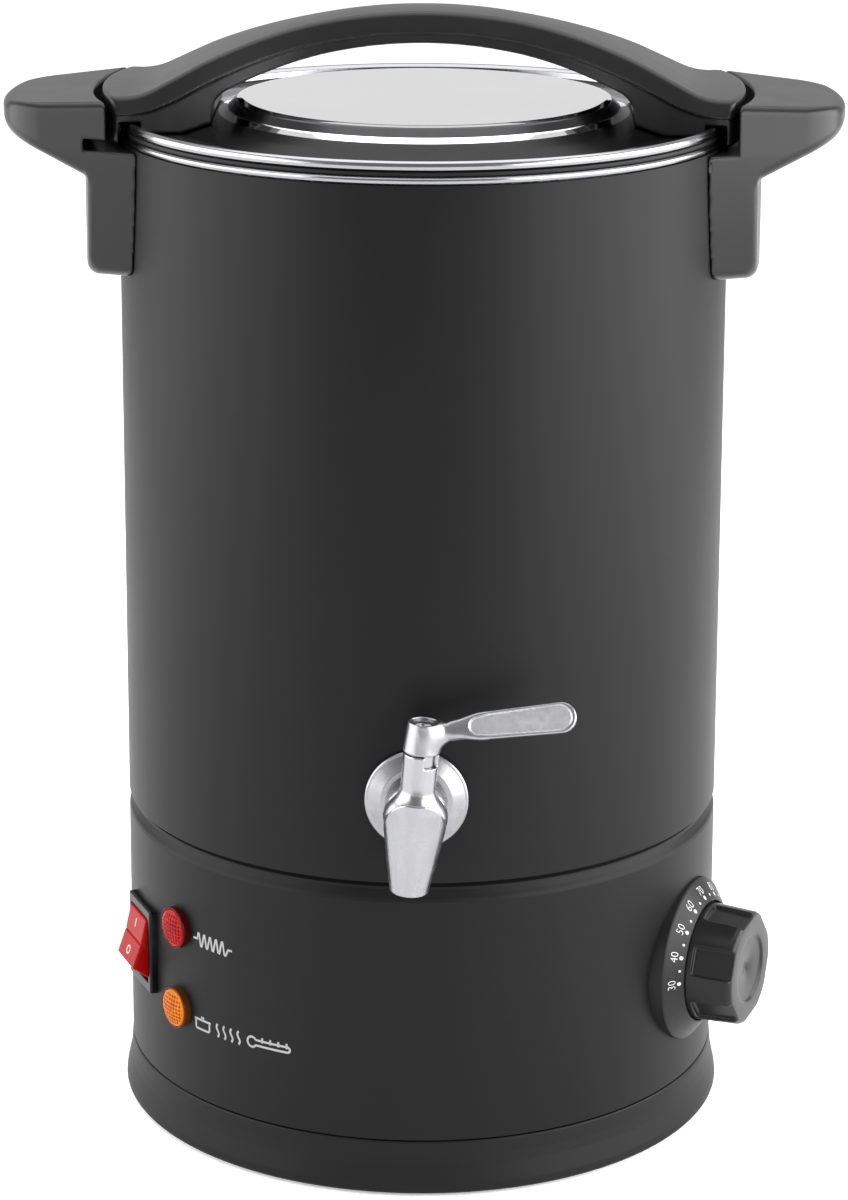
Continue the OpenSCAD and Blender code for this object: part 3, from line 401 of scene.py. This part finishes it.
def paint_lid(ob):
    """Raised centre polished, its shoulder duller, the flat ring dark, the rolled edge as the pot's rim."""
    me = ob.data
    n = len(me.polygons)
    c = np.zeros(3 * n)
    me.polygons.foreach_get("center", c)
    c = c.reshape(-1, 3) / MM
    rr, z = np.hypot(c[:, 0], c[:, 1]), c[:, 2]
    k = np.zeros(n, np.int32)
    k[(rr > 66.2) & (z < 369.8) & (z > 367.5)] = 1
    k[(rr > 73.4) & (z < 364.9)] = 2
    k[rr > 104.3] = 3
    me.polygons.foreach_set("material_index", k)


paint_lid(bpy.data.objects["Lid_plate"])
lathe("Lid_collar", [(91, 350.4, 0.2), (91.5, 350.05, 0.2), (92, 350.4, 0.2), (92, 359.5, 0.3), (94.4, 359.5, 0.2), (94.4, 360.28, 0.1), (91, 360.18, 0.2)],
      M_POT, "lid", ["lid_collar"], n=224)


# ---------------------------------------------------------------- side handles

def handle_field(X, Y, Z):
    """The right side handle. X away from the pot's axis, Z up, and the slot open towards +Y."""
    r = np.hypot(X, Y)
    d = np.clip(356 - Z, 0, 50)
    w = 46.1 - 0.345 * (X - 98) - 0.04 * d - 0.0014 * d * d
    side = (np.abs(Y) - w) / 1.06
    nose = np.hypot(X - 58.5, Y) - 89.95
    top = (Z - (373.25 - 0.0714 * (X - 112))) / 1.003
    under = -(Z - (346.9 + 0.465 * (X - 116.3))) * 0.907
    leg = np.maximum(RX(np.hypot(X + 80.6, Y) - 200.0, 311.4 - Z, 4.0), Z - 366)
    plain = RU(RX(under, top, 2.7), leg, 1.6)
    nosed = RU(RX(RX(RX(nose, side, 8.5), under, 3.6), top, 2.7), leg, 1.6)
    body = np.maximum(nosed, RX(plain, side, 1.3 + 3.6 * smooth01((319 - Z) / 7)))
    body = RX(body, R + 0.12 - r, 0.5)
    # the arc round the lid's handle, above the leg
    keep = -np.maximum(r - recess_r(), 356.4 - Z)
    body = RX(body, keep, 0.7)
    slot = np.maximum(np.maximum(r - 123.4, np.abs(Z - 358.4) - 2.05), -20 - Y)
    return RX(body, -slot, 0.3)


def recess_r():
    return 116.4


hv, hq = nets(handle_field, (94, -50, 308), (152, 50, 377), 0.72)
right = add_piece("Side_handle_right", hv, hq, [M_HANDLE, M_PAINTED_SHADE], "urn", ["side_handle_right"], recalc=False)
hl = hv.copy()
hl[:, 0] *= -1
hl[:, 1] *= -1
left = add_piece("Side_handle_left", hl, hq, [M_HANDLE, M_PAINTED_SHADE], "urn", ["side_handle_left"], recalc=False)


def paint_gap_shade(ob, v, q, r0, r1, z0, z1):
    """The walls of a narrow gap that faces the pot's axis take the near-black painted shade that stands in for the
    shadow deep in the gap.
    """
    m = v[q].mean(1)
    rr = np.hypot(m[:, 0], m[:, 1])
    ob.data.polygons.foreach_set("material_index", ((rr > r0) & (rr < r1) & (m[:, 2] > z0) & (m[:, 2] < z1)).astype(np.int32))


# painted shade on the gap walls of both handles
paint_gap_shade(right, hv, hq, 115.0, 116.75, 356.8, 371.8)
paint_gap_shade(left, hl, hq, 115.0, 116.75, 356.8, 371.8)


# ---------------------------------------------------------------- the lid's handle

def arch_top(a):
    t77 = 401.2 - 188 + math.sqrt(188 ** 2 - 77 ** 2)
    t92 = t77 - 0.5 * 15
    crown = 401.2 - 188 + np.sqrt(np.maximum(188 ** 2 - a * a, 1))
    line = t77 - 0.5 * (a - 77)
    foot = t92 - 0.5 * (a - 92) + 0.5 * (a - 92) ** 2 / 22.4
    flat = t92 - 0.5 * 11.2 + 0.5 * 11.2 ** 2 / 22.4
    return np.where(a <= 77, crown, np.where(a <= 92, line, np.where(a <= 103.2, foot, flat)))


def arch_slope(a):
    return (arch_top(a + 0.1) - arch_top(a - 0.1)) / 0.2


def arch_half(a):
    return 12 + 0.03 * a + 21 * smooth01((a - 30) / 80)


# The seat of the arch on the lid's upper face
SEAT_R = np.array([0, 64.8, 66.5, 67.6, 70.0, 73.0, 80.2, 89, 95, 103.4])
SEAT_Z = np.array([370.2, 370.2, 369.8, 368.9, 366.6, 365.3, 363.55, 361.15, 361.5, 361.6])


def arch_field(X, Y, Z):
    a = np.abs(X)
    r = np.hypot(X, Y)
    t, w = arch_top(a), arch_half(a)
    s = np.sqrt(1 + arch_slope(a) ** 2)
    band = t - 6.9 - 1.1 * smooth01((a - 20) / 60) + 1.9 * smooth01((a - 84) / 18)
    up = (Z - t - 0.35 * (1 - np.clip(Y / w, -1, 1) ** 2)) / s
    lean = 3.1 * np.clip((t - Z) / (t - band), -0.2, 1.1)
    sides = (np.abs(Y) - w - lean) * 0.92
    end = r - 113.35
    cover = RX(RX(sides, end, 2.2), up, 1.3)
    cover = RX(cover, (band - Z) / s, 0.7)
    under = np.where(a < 73.6, 390.4 - 160 + np.sqrt(np.maximum(160 ** 2 - a * a, 1)), 361)
    su = np.sqrt(1 + (a / 160) ** 2)
    leg_in = RX((under - Z) / su, 73.5 - a, 0.0)
    arch = np.maximum((under - Z) / su, a - 80)
    legs = 73.5 - a
    inner = RU(arch, legs, 5.0)
    skirt = RX(RX(np.abs(Y) - w - 1.3, end + 0.6, 1.8), inner, 0.7)
    skirt = np.maximum(skirt, Z - (band + 2.0))
    body = RU(cover, skirt, 0.4)
    # toe down to 358.6 outside the rolled edge, seat on the flat ring of the lid
    low = np.where(r > 109, 358.65, np.interp(r, SEAT_R, SEAT_Z)) - Z
    body = RX(body, low, 0.4)
    ring = np.maximum(np.maximum(r - 111.1, 103.5 - r), Z - 365.8)
    body = RX(body, -ring, 0.3)
    # hollow underneath, with cross ribs
    cell = np.abs((X / 9.4 + 0.5) % 1.0 - 0.5) * 9.4
    wallr = 0.75 - cell
    hollow = RX(RX(np.abs(Y) - (w - 1.0), (Z - (t - 3.4)) / s, 1.0), a - 70.5, 0.8)
    hollow = np.maximum(hollow, wallr)
    hollow = np.maximum(hollow, -(Z - 366))
    return RX(body, -hollow, 0.3)


av, aq = nets(arch_field, (-116, -42, 356), (116, 42, 404), 0.72)
add_piece("Lid_handle", av, aq, M_HANDLE, "lid", ["lid_handle"], recalc=False)


# ---------------------------------------------------------------- tap

def tap_local(X, Y, Z):
    """Row frame to the tap's leaned frame: x to the right, y back to the pot from the spout's centre line, z up from the tap's axis."""
    c, s = math.cos(math.radians(LEAN)), math.sin(math.radians(LEAN))
    dz = Z - TAP_H
    return c * X - s * dz, Y + TAP_Y, s * X + c * dz


SP_Z = np.array([-28.2, -26.4, -23.5, -18, -12, -6, -3, 0, 3, 6, 9])
SP_R = np.array([6.55, 6.8, 7.35, 8.4, 9.4, 10.4, 10.8, 11.3, 12.0, 12.3, 12.5])


def tap_field(X, Y, Z):
    x, y, z = tap_local(X, Y, Z)
    r = np.hypot(x, y)
    cone = (r - np.interp(z, SP_Z, SP_R)) * 0.98
    cone = RX(cone, -28.15 - z, 0.8)
    # the spout's front shell ends in a plane that slopes down to the sides
    cut = (z - (7.7 - 1.15 * (y + 11.5)) + 0.9 * np.exp(-(x / 3.4) ** 2)) / math.hypot(1, 1.15)
    spout = RX(cone, cut, 1.2)
    ball = (np.sqrt((x / 11.0) ** 2 + ((y - 1.2) / 11.0) ** 2 + ((z + 1.5) / 9.6) ** 2) - 1) * 9.8
    body = RU(spout, ball, 0.8)
    barrel = RX(r - (5.95 + 0.007 * (z - 6)), z - 21.55, 0.35)
    barrel = np.maximum(barrel, -z)
    body = RU(body, barrel, 2.4)
    rn = np.hypot(X, Z - TAP_H)
    neck = np.maximum(np.maximum(rn - 9.6, -Y - 121), Y + 109.0)
    body = RU(body, neck, 1.5)
    outlet = np.maximum(r - 5.0, z + 12)
    body = RX(body, -outlet, 0.5)
    bore = np.maximum(r - 4.55, 14 - z)
    body = RX(body, -bore, 0.2)
    notch = np.maximum(np.maximum(17.5 - z, y + 1.0), 1.4 - x)
    return RX(body, -notch, 0.15)


tv, tq = nets(tap_field, (-14, -136, 116), (15, -108, 169.5), 0.42)
add_piece("Tap_body", tv, tq, M_TAP, "urn", ["tap_body"], recalc=False)
lathe("Tap_shank", [(5.0, 86.1, 0.2), (7.7, 86.1, 0.5), (8.2, 87.0, 0.3), (8.2, 110.5), (5.0, 110.5)], M_TAP, "urn",
      n=64, matrix=Matrix.Rotation(math.radians(90), 4, "X") @ Matrix.Translation((0, TAP_H, 0)))
lathe("Tap_flange", [(8.35, 108.4), (16.6, 108.4), (17.7, 108.2, 0.3), (17.7, 109.3, 0.4), (17.2, 109.75, 0.3), (16.7, 109.8, 0.2), (12.3, 112.0, 1.0), (10.6, 112.15, 0.4), (8.35, 112.15)],
      M_FLANGE, "urn", ["tap_flange"], n=128, matrix=Matrix.Rotation(math.radians(90), 4, "X") @ Matrix.Translation((0, TAP_H, 0)))


ARM = 11.6      # rise of the lever's arm away from the hub, in the leaned frame


def arm(x, y, z):
    """Along the arm, across the paddle's face, and out of it. The face looks to the front and a little up."""
    c, s = math.cos(math.radians(ARM)), math.sin(math.radians(ARM))
    ct, st = math.cos(math.radians(65)), math.sin(math.radians(65))
    u, v = c * x + s * (z - 28.8), -s * x + c * (z - 28.8)
    return u, ct * y + st * v, -st * y + ct * v


def panel_outline(u, p):
    """The inset panel: long, rounded at both ends and narrower at the neck."""
    cu = np.clip(u, 18.7, 45.7)
    return np.hypot(u - cu, p) - np.interp(cu, [18.7, 22.5, 45.7], [3.0, 3.6, 4.25])


def lever_field(x, y, z):
    """In the leaned frame, round the spout's centre line."""
    r = np.hypot(x, y)
    hub_r = np.interp(z, [22, 22.6, 32.6], [6.25, 6.2, 5.25])
    hub = RX(RX(r - hub_r, z - 32.6, 0.35), 22.05 - z, 0.3)
    u, p, q = arm(x, y, z)
    cu = np.clip(u, 10.5, 46.35)
    half = np.interp(cu, [10.5, 13, 16, 19, 22, 46.35], [2.6, 3.0, 3.9, 4.55, 4.7, 5.25])
    pad = RX(np.hypot(u - cu, p) - half, np.abs(q) - 1.6, 0.7)
    panel = np.maximum(panel_outline(u, p), 1.12 - q)
    # neck from the hub into the paddle
    c, s = math.cos(math.radians(ARM)), math.sin(math.radians(ARM))
    v = -s * x + c * (z - 28.8)
    k = np.clip((u - 4) / 14.0, 0, 1)
    cz = -1.5 * (1 - k)
    hh = 2.9 + 0.2 * k
    th = 2.7 - 0.9 * k
    tilt = k * math.radians(25)
    pp = np.cos(tilt) * (v - cz) + np.sin(tilt) * y
    qq = -np.sin(tilt) * (v - cz) + np.cos(tilt) * y
    neck = (np.sqrt((pp / hh) ** 2 + (qq / th) ** 2) - 1) * np.minimum(hh, th)
    neck = np.maximum(np.maximum(neck, 2 - u), u - 20.5)
    body = np.maximum(RU(hub, neck, 4.0), 22.05 - z)
    body = RU(body, pad, 1.8)
    body = RX(body, -panel, 0.35)
    well = np.maximum(r - 4.45, 28.6 - z)
    return RX(body, -well, 0.3)


lv, lq = nets(lever_field, (-8, -9, 20.5), (54, 9, 43.5), 0.40)
lever = add_piece("Tap_lever", lv, lq, [M_LEVER, M_PANEL], "tap_valve", ["tap_lever"], recalc=False, matrix=TAP_M)


def paint_panel(ob, v, q):
    """The faces on the floor of the lever's inset panel get the duller finish."""
    m = v[q].mean(1)
    u, p, out = arm(m[:, 0], m[:, 1], m[:, 2])
    on = (panel_outline(u, p) < -0.1) & (np.abs(out - 1.12) < 0.25)
    ob.data.polygons.foreach_set("material_index", on.astype(np.int32))


paint_panel(lever, lv, lq)


def screw_field(x, y, z):
    r = np.hypot(x, y)
    head = RX(r - 3.75, (r * r / 26 + z - 31.3), 0.5)
    head = np.maximum(head, 28.65 - z)
    shank = np.maximum(r - 1.5, np.abs(z - 24.6) - 4.2)
    body = np.minimum(head, shank)
    a = math.radians(20)
    u, v = math.cos(a) * x + math.sin(a) * y, -math.sin(a) * x + math.cos(a) * y
    cross = np.minimum(np.maximum(np.abs(u) - 2.4, np.abs(v) - 0.42), np.maximum(np.abs(v) - 2.4, np.abs(u) - 0.42))
    cross = np.maximum(cross, 29.9 - z)
    return RX(body, -cross, 0.12)


sv, sq = nets(screw_field, (-4.5, -4.5, 20), (4.5, 4.5, 32.4), 0.2)
add_piece("Tap_screw", sv, sq, M_SCREW, "tap_valve", ["tap_screw"], recalc=False, matrix=TAP_M)


# ---------------------------------------------------------------- dial

lathe("Dial_plate", [(5.6, 108.6), (5.6, 112.2), (21.75, 112.2), (21.75, 114.25, 0.25), (22.3, 114.4, 0.3), (29.0, 109.35, 0.35), (29.45, 108.8, 0.3), (29.45, 103.0), (26.5, 103.0)],
      M_DIAL, "urn", ["dial_bezel"], n=160, matrix=DIAL_M)


def knob_field(x, y, z):
    """z away from the pot, in the dial's frame."""
    r = np.hypot(x, y)
    side = (r - (21.15 - 0.045 * (z - 113.0))) * 0.999
    crown = z - 131.15 + 0.010 * (r - 15.5) ** 2
    body = RX(RX(side, crown, 2.0), 112.95 - z, 0.4)
    dish = RX(r - 11.9, 130.05 + 0.002 * r * r - z, 0.7)
    body = RX(body, -dish, 0.8)
    a = np.arctan2(y, x) - math.radians(39)
    step = math.pi / 3
    a = (a + step / 2) % step - step / 2
    tx, ty = r * np.cos(a), r * np.sin(a)
    rec = RX(RX(np.abs(ty) - 5.15, 19.25 - 0.0612 * (z - 116) - tx, 0.6), 116.2 - z, 0.8)
    body = RX(body, -rec, 0.45)
    hole = np.maximum(r - 3.02, z - 124.6)
    return np.maximum(body, -hole)


kv, kq = nets(knob_field, (-22.5, -22.5, 112), (22.5, 22.5, 132.5), 0.42)
add_piece("Dial_knob", kv, kq, M_KNOB, "dial", ["dial_knob"], recalc=False, matrix=DIAL_M)


def cone_t(r):
    """Height of the dial's conical face at radius r."""
    return 114.4 - (r - 22.3) * (114.4 - 109.35) / (29.0 - 22.3)


def on_cone(pts, lift=0.06):
    k = (114.4 - 109.35) / (29.0 - 22.3)
    n = math.hypot(1, k)
    out = []
    for x, y in pts:
        r = math.hypot(x, y)
        ux, uy = x / r, y / r
        out.append((x + ux * lift * k / n, y + uy * lift * k / n, cone_t(r) + lift / n))
    return out


def text_polys(s, size, bold=0.0):
    """Flat mesh of a short number in the built-in face, centred, size = height of the figures."""
    cu = bpy.data.curves.new("t", "FONT")
    cu.body = s
    cu.size = 1.0
    cu.offset = bold
    cu.align_x = "CENTER"
    cu.resolution_u = 4
    ob = bpy.data.objects.new("t", cu)
    scene.collection.objects.link(ob)
    dg = bpy.context.evaluated_depsgraph_get()
    me = bpy.data.meshes.new_from_object(ob.evaluated_get(dg))
    v = np.array([p.co for p in me.vertices], float).reshape(-1, 3)[:, :2]
    f = [list(p.vertices) for p in me.polygons]
    bpy.data.objects.remove(ob)
    bpy.data.curves.remove(cu)
    bpy.data.meshes.remove(me)
    lo, hi = v.min(0), v.max(0)
    v = (v - (lo + hi) / 2) * (size / (hi[1] - lo[1]))
    return v, f


dial_v, dial_f = [], []


def put(vs, fs):
    b = len(dial_v)
    dial_v.extend(vs)
    dial_f.extend([[i + b for i in f] for f in fs])


for i in range(17):
    th = math.radians(180.75 - 11.21 * i)
    big = i % 2 == 0
    rr = 0.68 if big else 0.43
    c = (23.95 * math.cos(th), 23.95 * math.sin(th))
    ring = [(c[0] + rr * math.cos(a), c[1] + rr * math.sin(a)) for a in [2 * math.pi * k / 20 for k in range(20)]]
    put(on_cone([c] + ring, 0.09), [[0, 1 + k, 1 + (k + 1) % 20] for k in range(20)])
    if big:
        v, f = text_polys(str(30 + 5 * i), 2.5, -0.016)
        v = v * np.array([1.04, 1.0])
        # the number's up points away from the dial's centre, turned a quarter: it reads along the rim
        ux, uy = math.cos(th), math.sin(th)
        tx, ty = uy, -ux
        pts = [((26.35 + q[1]) * ux + q[0] * tx, (26.35 + q[1]) * uy + q[0] * ty) for q in v]
        put(on_cone(pts, 0.09), f)
add_piece("Dial_numbers", dial_v, dial_f, M_PRINT, "urn", matrix=DIAL_M, recalc=True, smooth=False)


# ---------------------------------------------------------------- switch

def frame_field(x, y, z):
    body = RX(RX(np.abs(x) - 12.15, np.abs(y) - 15.7, 0.5), z - 110.1, 0.7)
    body = np.maximum(body, 105.5 - z)
    shell = RX(np.maximum(np.abs(x) - 10.6, np.abs(y) - 13.7), z - 106, 0)
    shell = np.maximum(shell, 92 - z)
    body = np.minimum(body, shell)
    hole = np.maximum(np.maximum(np.abs(x) - 9.5, np.abs(y) - 12.2), 93 - z)
    body = RX(body, -hole, 0.45)
    return body


fv, fq = nets(frame_field, (-13, -16.6, 91.2), (13, 16.6, 111), 0.4)
add_piece("Switch_frame", fv, fq, M_SWITCH, "urn", ["switch_housing"], recalc=False, matrix=SW_M)

ROCK_M = SW_M @ Matrix.Translation((0, 0, 103.5)) @ Matrix.Rotation(math.radians(-TAU), 4, "X")


def rocker_face(y):
    return 9.5 + 0.55 * (y / 9.1) ** 2


def rocker_field(x, y, z):
    top = z - (9.45 + 0.6 * np.abs(y) / 9.2)
    a = np.abs(y)
    edge = (a - np.interp(z, [-4.2, 1.0, 3.6, 7.2, 9.7, 10.4], [6.0, 12.15, 11.82, 10.3, 9.45, 9.2])) * 0.9
    body = RX(RX(top, edge, 0.45), np.abs(x) - 9.2, 0.45)
    body = np.maximum(body, -4.2 - z)
    groove = np.maximum(np.abs(y) - 0.28, 9.15 - z)
    body = RX(body, -groove, 0.1)
    hole = np.hypot(y, z) - 1.55
    return np.maximum(body, -hole)


rv, rq = nets(rocker_field, (-9.8, -12.8, -4.8), (9.8, 12.8, 11.2), 0.36)
add_piece("Switch_rocker", rv, rq, M_RED, "rocker", ["switch_rocker"], recalc=False, matrix=ROCK_M)


def rocker_top(y):
    return 9.45 + 0.6 * abs(y) / 9.2


def flat_ring(cx, cy, r0, r1, surf, n=40, sy=1.0):
    v, f = [], []
    for k in range(n):
        a = 2 * math.pi * k / n
        for r in (r0, r1):
            x, y = cx + r * math.cos(a), cy + r * math.sin(a) * sy
            v.append((x, y, surf(y)))
    for k in range(n):
        l = (k + 1) % n
        f.append([2 * k, 2 * k + 1, 2 * l + 1, 2 * l])
    return v, f


v1, f1 = flat_ring(0, -5.2, 1.15, 1.65, lambda y: rocker_top(y) + 0.05)
bar = [(-0.28, 3.6), (0.28, 3.6), (0.28, 6.8), (-0.28, 6.8)]
v2 = [(x, y, rocker_top(y) + 0.05) for x, y in bar]
f1 = f1 + [[len(v1) + i for i in range(4)]]
add_piece("Rocker_marks", v1 + v2, f1, M_PRINT, "rocker", matrix=ROCK_M, smooth=False)


# ---------------------------------------------------------------- lamps

def lamp_field(x, y, z):
    r = np.hypot(x, y)
    skirt = RX(RX(r - 7.5, z - 110.6, 0.5), 106.6 - z, 0.0)
    skirt = RX(skirt, -np.maximum(r - 6.95, 110.1 - z), 0.15)
    dome = np.sqrt(r * r + (z - 94.4) ** 2) - 17.5
    lens = RX(RX(r - 6.75, dome, 0.4), 106.6 - z, 0.0)
    # small pyramids over the middle of the lens
    g = 1.4
    px, py = np.abs((x / g) % 1.0 - 0.5), np.abs((y / g) % 1.0 - 0.5)
    bumps = (px + py - 0.5) * 0.55 * smooth01((6.2 - r) / 0.9)
    return np.minimum(skirt, lens + bumps)


pv, pq = nets(lamp_field, (-8.3, -8.3, 106.2), (8.3, 8.3, 113.6), 0.26)
for i, (h, lens, rim, node, slot) in enumerate([(LAMP_H[0], M_LENS_R, M_CLEAR_R, "heat_lamp_lens", "lens_red"), (LAMP_H[1], M_LENS_A, M_CLEAR_A, "warm_lamp_lens", "lens_amber")]):
    ob = add_piece(("Heat_lamp", "Warm_lamp")[i], pv, pq, [lens, rim, (M_LENS_R_SHADE, M_LENS_A_SHADE)[i]], "urn", [node], recalc=False, matrix=wall_matrix(LAMP_AZ, h))
    c = pv[pq].mean(1)
    cr = np.hypot(c[:, 0], c[:, 1])
    # the middles of the diamond cells take the darker copy, painted shade for the prism pattern; the outer ring takes
    # the rim colour
    low = (np.abs((c[:, 0] / 1.4) % 1.0 - 0.5) + np.abs((c[:, 1] / 1.4) % 1.0 - 0.5) < 0.46) & (cr < 6.1)
    ob.data.polygons.foreach_set("material_index", np.where(cr > 6.75, 1, np.where(low, 2, 0)).astype(np.int32))


# ---------------------------------------------------------------- printed marks beside the lamps

def on_shell(az_deg, z, lift=0.05):
    a = math.radians(az_deg)
    return ((R + lift) * math.sin(a), -(R + lift) * math.cos(a), z)


def stroke(points, half=0.41):
    """A printed line on the casing through (arc length in mm from the left end, height) points."""
    fine = [points[0]]
    for (s0, z0), (s1, z1) in zip(points, points[1:]):
        k = max(1, int(math.ceil(math.hypot(s1 - s0, z1 - z0) / 0.8)))
        fine += [(s0 + (s1 - s0) * j / k, z0 + (z1 - z0) * j / k) for j in range(1, k + 1)]
    points = fine
    v, f = [], []
    n = len(points)
    for i, (s, z) in enumerate(points):
        a = points[max(0, i - 1)]
        b = points[min(n - 1, i + 1)]
        dx, dz = b[0] - a[0], b[1] - a[1]
        l = math.hypot(dx, dz) or 1
        v.append((s - dz / l * half, z + dx / l * half))
        v.append((s + dz / l * half, z - dx / l * half))
    for i in range(n - 1):
        f.append([2 * i, 2 * i + 1, 2 * i + 3, 2 * i + 2])
    return v, f


def marks(name, strokes, az0, z0):
    V, F = [], []
    for pts in strokes:
        v, f = stroke(pts)
        b = len(V)
        V.extend(on_shell(az0 + math.degrees(s / R), z0 + z) for s, z in v)
        F.extend([[i + b for i in q] for q in f])
    return add_piece(name, V, F, M_MARK, "urn", smooth=False)


def wave(s0, w, h, n=24, turns=1.0, amp=0.55):
    return [(s0 + w / 2 + amp * math.sin(2 * math.pi * turns * k / n), h * k / n) for k in range(n + 1)]


def arc(cx, cz, r, a0, a1, n=20):
    return [(cx + r * math.cos(math.radians(a0 + (a1 - a0) * k / n)), cz + r * math.sin(math.radians(a0 + (a1 - a0) * k / n))) for k in range(n + 1)]


# a heating coil: a row of hairpins between two leads
coil = [(0, 2.6), (2.2, 2.6)]
for i in range(5):
    x = 2.6 + 3.0 * i
    coil += [(x + 0.1, 4.8), (x + 0.55, 5.0), (x + 1.4, 0.3), (x + 2.0, 0.15)]
coil += [(17.8, 2.6), (19.6, 2.6)]
marks("Heat_mark", [coil], -47.3, 78.3)

pot = [[(0.4, 3.4), (0.4, 0.9), (0.9, 0.35), (7.1, 0.35), (7.6, 0.9), (7.6, 3.4)], [(-0.3, 3.9), (8.3, 3.9)], [(3.2, 4.9), (4.8, 4.9)]]
rows = pot + [wave(11 + 3.3 * i, 1.6, 5.0) for i in range(4)] + [arc(27.6, 2.6, 1.9, 32, 328) + [(42.2, 1.6)] + arc(42.2, 2.6, 1.0, -90, 90, 8) + [(29.2, 3.6)]] + [[(32 + 3.3 * i, 2.9), (32 + 3.3 * i, 4.9)] for i in range(4)]
marks("Warm_mark", rows, -47.0, 46.6)


# ---------------------------------------------------------------- CAD nodes that keep their own shape

for name, mat in {"base_plate": M_ZINC, "rubber_feet": M_FOOT, "base_screws": M_SCREW, "heat_shield": M_ZINC, "centre_stud": M_SCREW, "stud_nut": M_SCREW,
                  "insulation_blanket": M_FELT, "heater_plate": M_CAST, "heating_element": M_SHEATH, "thermal_cutout": M_CERAMIC, "sensor_bulb": M_COPPER,
                  "capillary_tube": M_COPPER, "thermostat_body": M_CERAMIC, "thermostat_shaft": M_BRASS, "rocker_pin": M_SCREW, "lamp_bodies": M_SWITCH,
                  "terminal_block": M_CERAMIC, "cord_gland": M_GLAND, "gland_nut": M_GLAND, "handle_screws": M_SCREW, "lid_screws": M_SCREW,
                  "tap_gaskets": M_SEAL, "tap_nut": M_SCREW, "tap_stem": M_TAP}.items():
    ob = NODES[name]
    if not ob.data.materials:
        ob.data.materials.append(mat)
    for i in range(len(ob.material_slots)):
        ob.material_slots[i].material = mat


# ---------------------------------------------------------------- stage, light and camera

def plane(name, size, z=0.0):
    me = bpy.data.meshes.new(name)
    s = size / 2
    me.from_pydata([(-s, -s, z), (s, -s, z), (s, s, z), (-s, s, z)], [], [[0, 1, 2, 3]])
    ob = bpy.data.objects.new(name, me)
    scene.collection.objects.link(ob)
    return ob


M_FLOOR = material("studio_floor", (0.86, 0.86, 0.86), rough=0.9, spec=0.2, vary=0.003, vary_scale=1.2, emit=(1, 1, 1), emit_strength=0.30)
floor = plane("Floor", 14.0, -0.0002)
floor.data.materials.append(M_FLOOR)


def area(name, loc, target, size, energy, size_y=None, color=(1, 1, 1)):
    d = bpy.data.lights.new(name, "AREA")
    d.shape = "RECTANGLE"
    d.size = size
    d.size_y = size_y or size
    d.energy = energy
    d.color = color
    ob = bpy.data.objects.new(name, d)
    ob.location = loc
    ob.rotation_euler = (Vector(target) - Vector(loc)).to_track_quat("-Z", "Y").to_euler()
    scene.collection.objects.link(ob)
    return ob


area("Softbox_left", (-1.45, -0.30, 0.50), (0, 0, 0.22), 2.2, 42, 1.3)
area("Softbox_right", (1.42, -0.45, 0.50), (0, 0, 0.22), 2.4, 78, 1.3)
area("Softbox_top", (0, 0.2, 1.9), (0, 0, 0.2), 2.2, 42, 2.2)

world = bpy.data.worlds.new("Studio")
scene.world = world
world.use_nodes = True
wn = world.node_tree
bg = wn.nodes["Background"]
tc = wn.nodes.new("ShaderNodeTexCoord")
sep = wn.nodes.new("ShaderNodeSeparateXYZ")
wn.links.new(tc.outputs["Generated"], sep.inputs["Vector"])
mr = wn.nodes.new("ShaderNodeMapRange")
mr.inputs["From Min"].default_value = -0.75
mr.inputs["From Max"].default_value = 0.35
mr.inputs["To Min"].default_value = 0.50
mr.inputs["To Max"].default_value = 0.78
mr.interpolation_type = "SMOOTHSTEP"
wn.links.new(sep.outputs["Y"], mr.inputs["Value"])
comb = wn.nodes.new("ShaderNodeCombineColor")
for k in ("Red", "Green", "Blue"):
    wn.links.new(mr.outputs["Result"], comb.inputs[k])
wn.links.new(comb.outputs["Color"], bg.inputs["Color"])
bg.inputs["Strength"].default_value = 1.0

scene.view_settings.view_transform = "Standard"
scene.view_settings.look = "None"

cam_data = bpy.data.cameras.new("Camera")
cam = bpy.data.objects.new("Camera", cam_data)
scene.collection.objects.link(cam)
scene.camera = cam
cam_data.sensor_fit = "AUTO"
cam_data.sensor_width = 36
cam_data.lens = 109.2
cam_data.shift_x = 0.0007
cam_data.shift_y = -0.1678
cam_data.clip_start, cam_data.clip_end = 0.05, 50
cam.location = (0.02116, -1.2760, 0.57384)
cam.rotation_euler = (Matrix.Rotation(math.radians(0.95), 3, "Z") @ Matrix.Rotation(math.radians(90 - 13.84), 3, "X")
                      @ Matrix.Rotation(math.radians(0.19), 3, "Z")).to_euler()
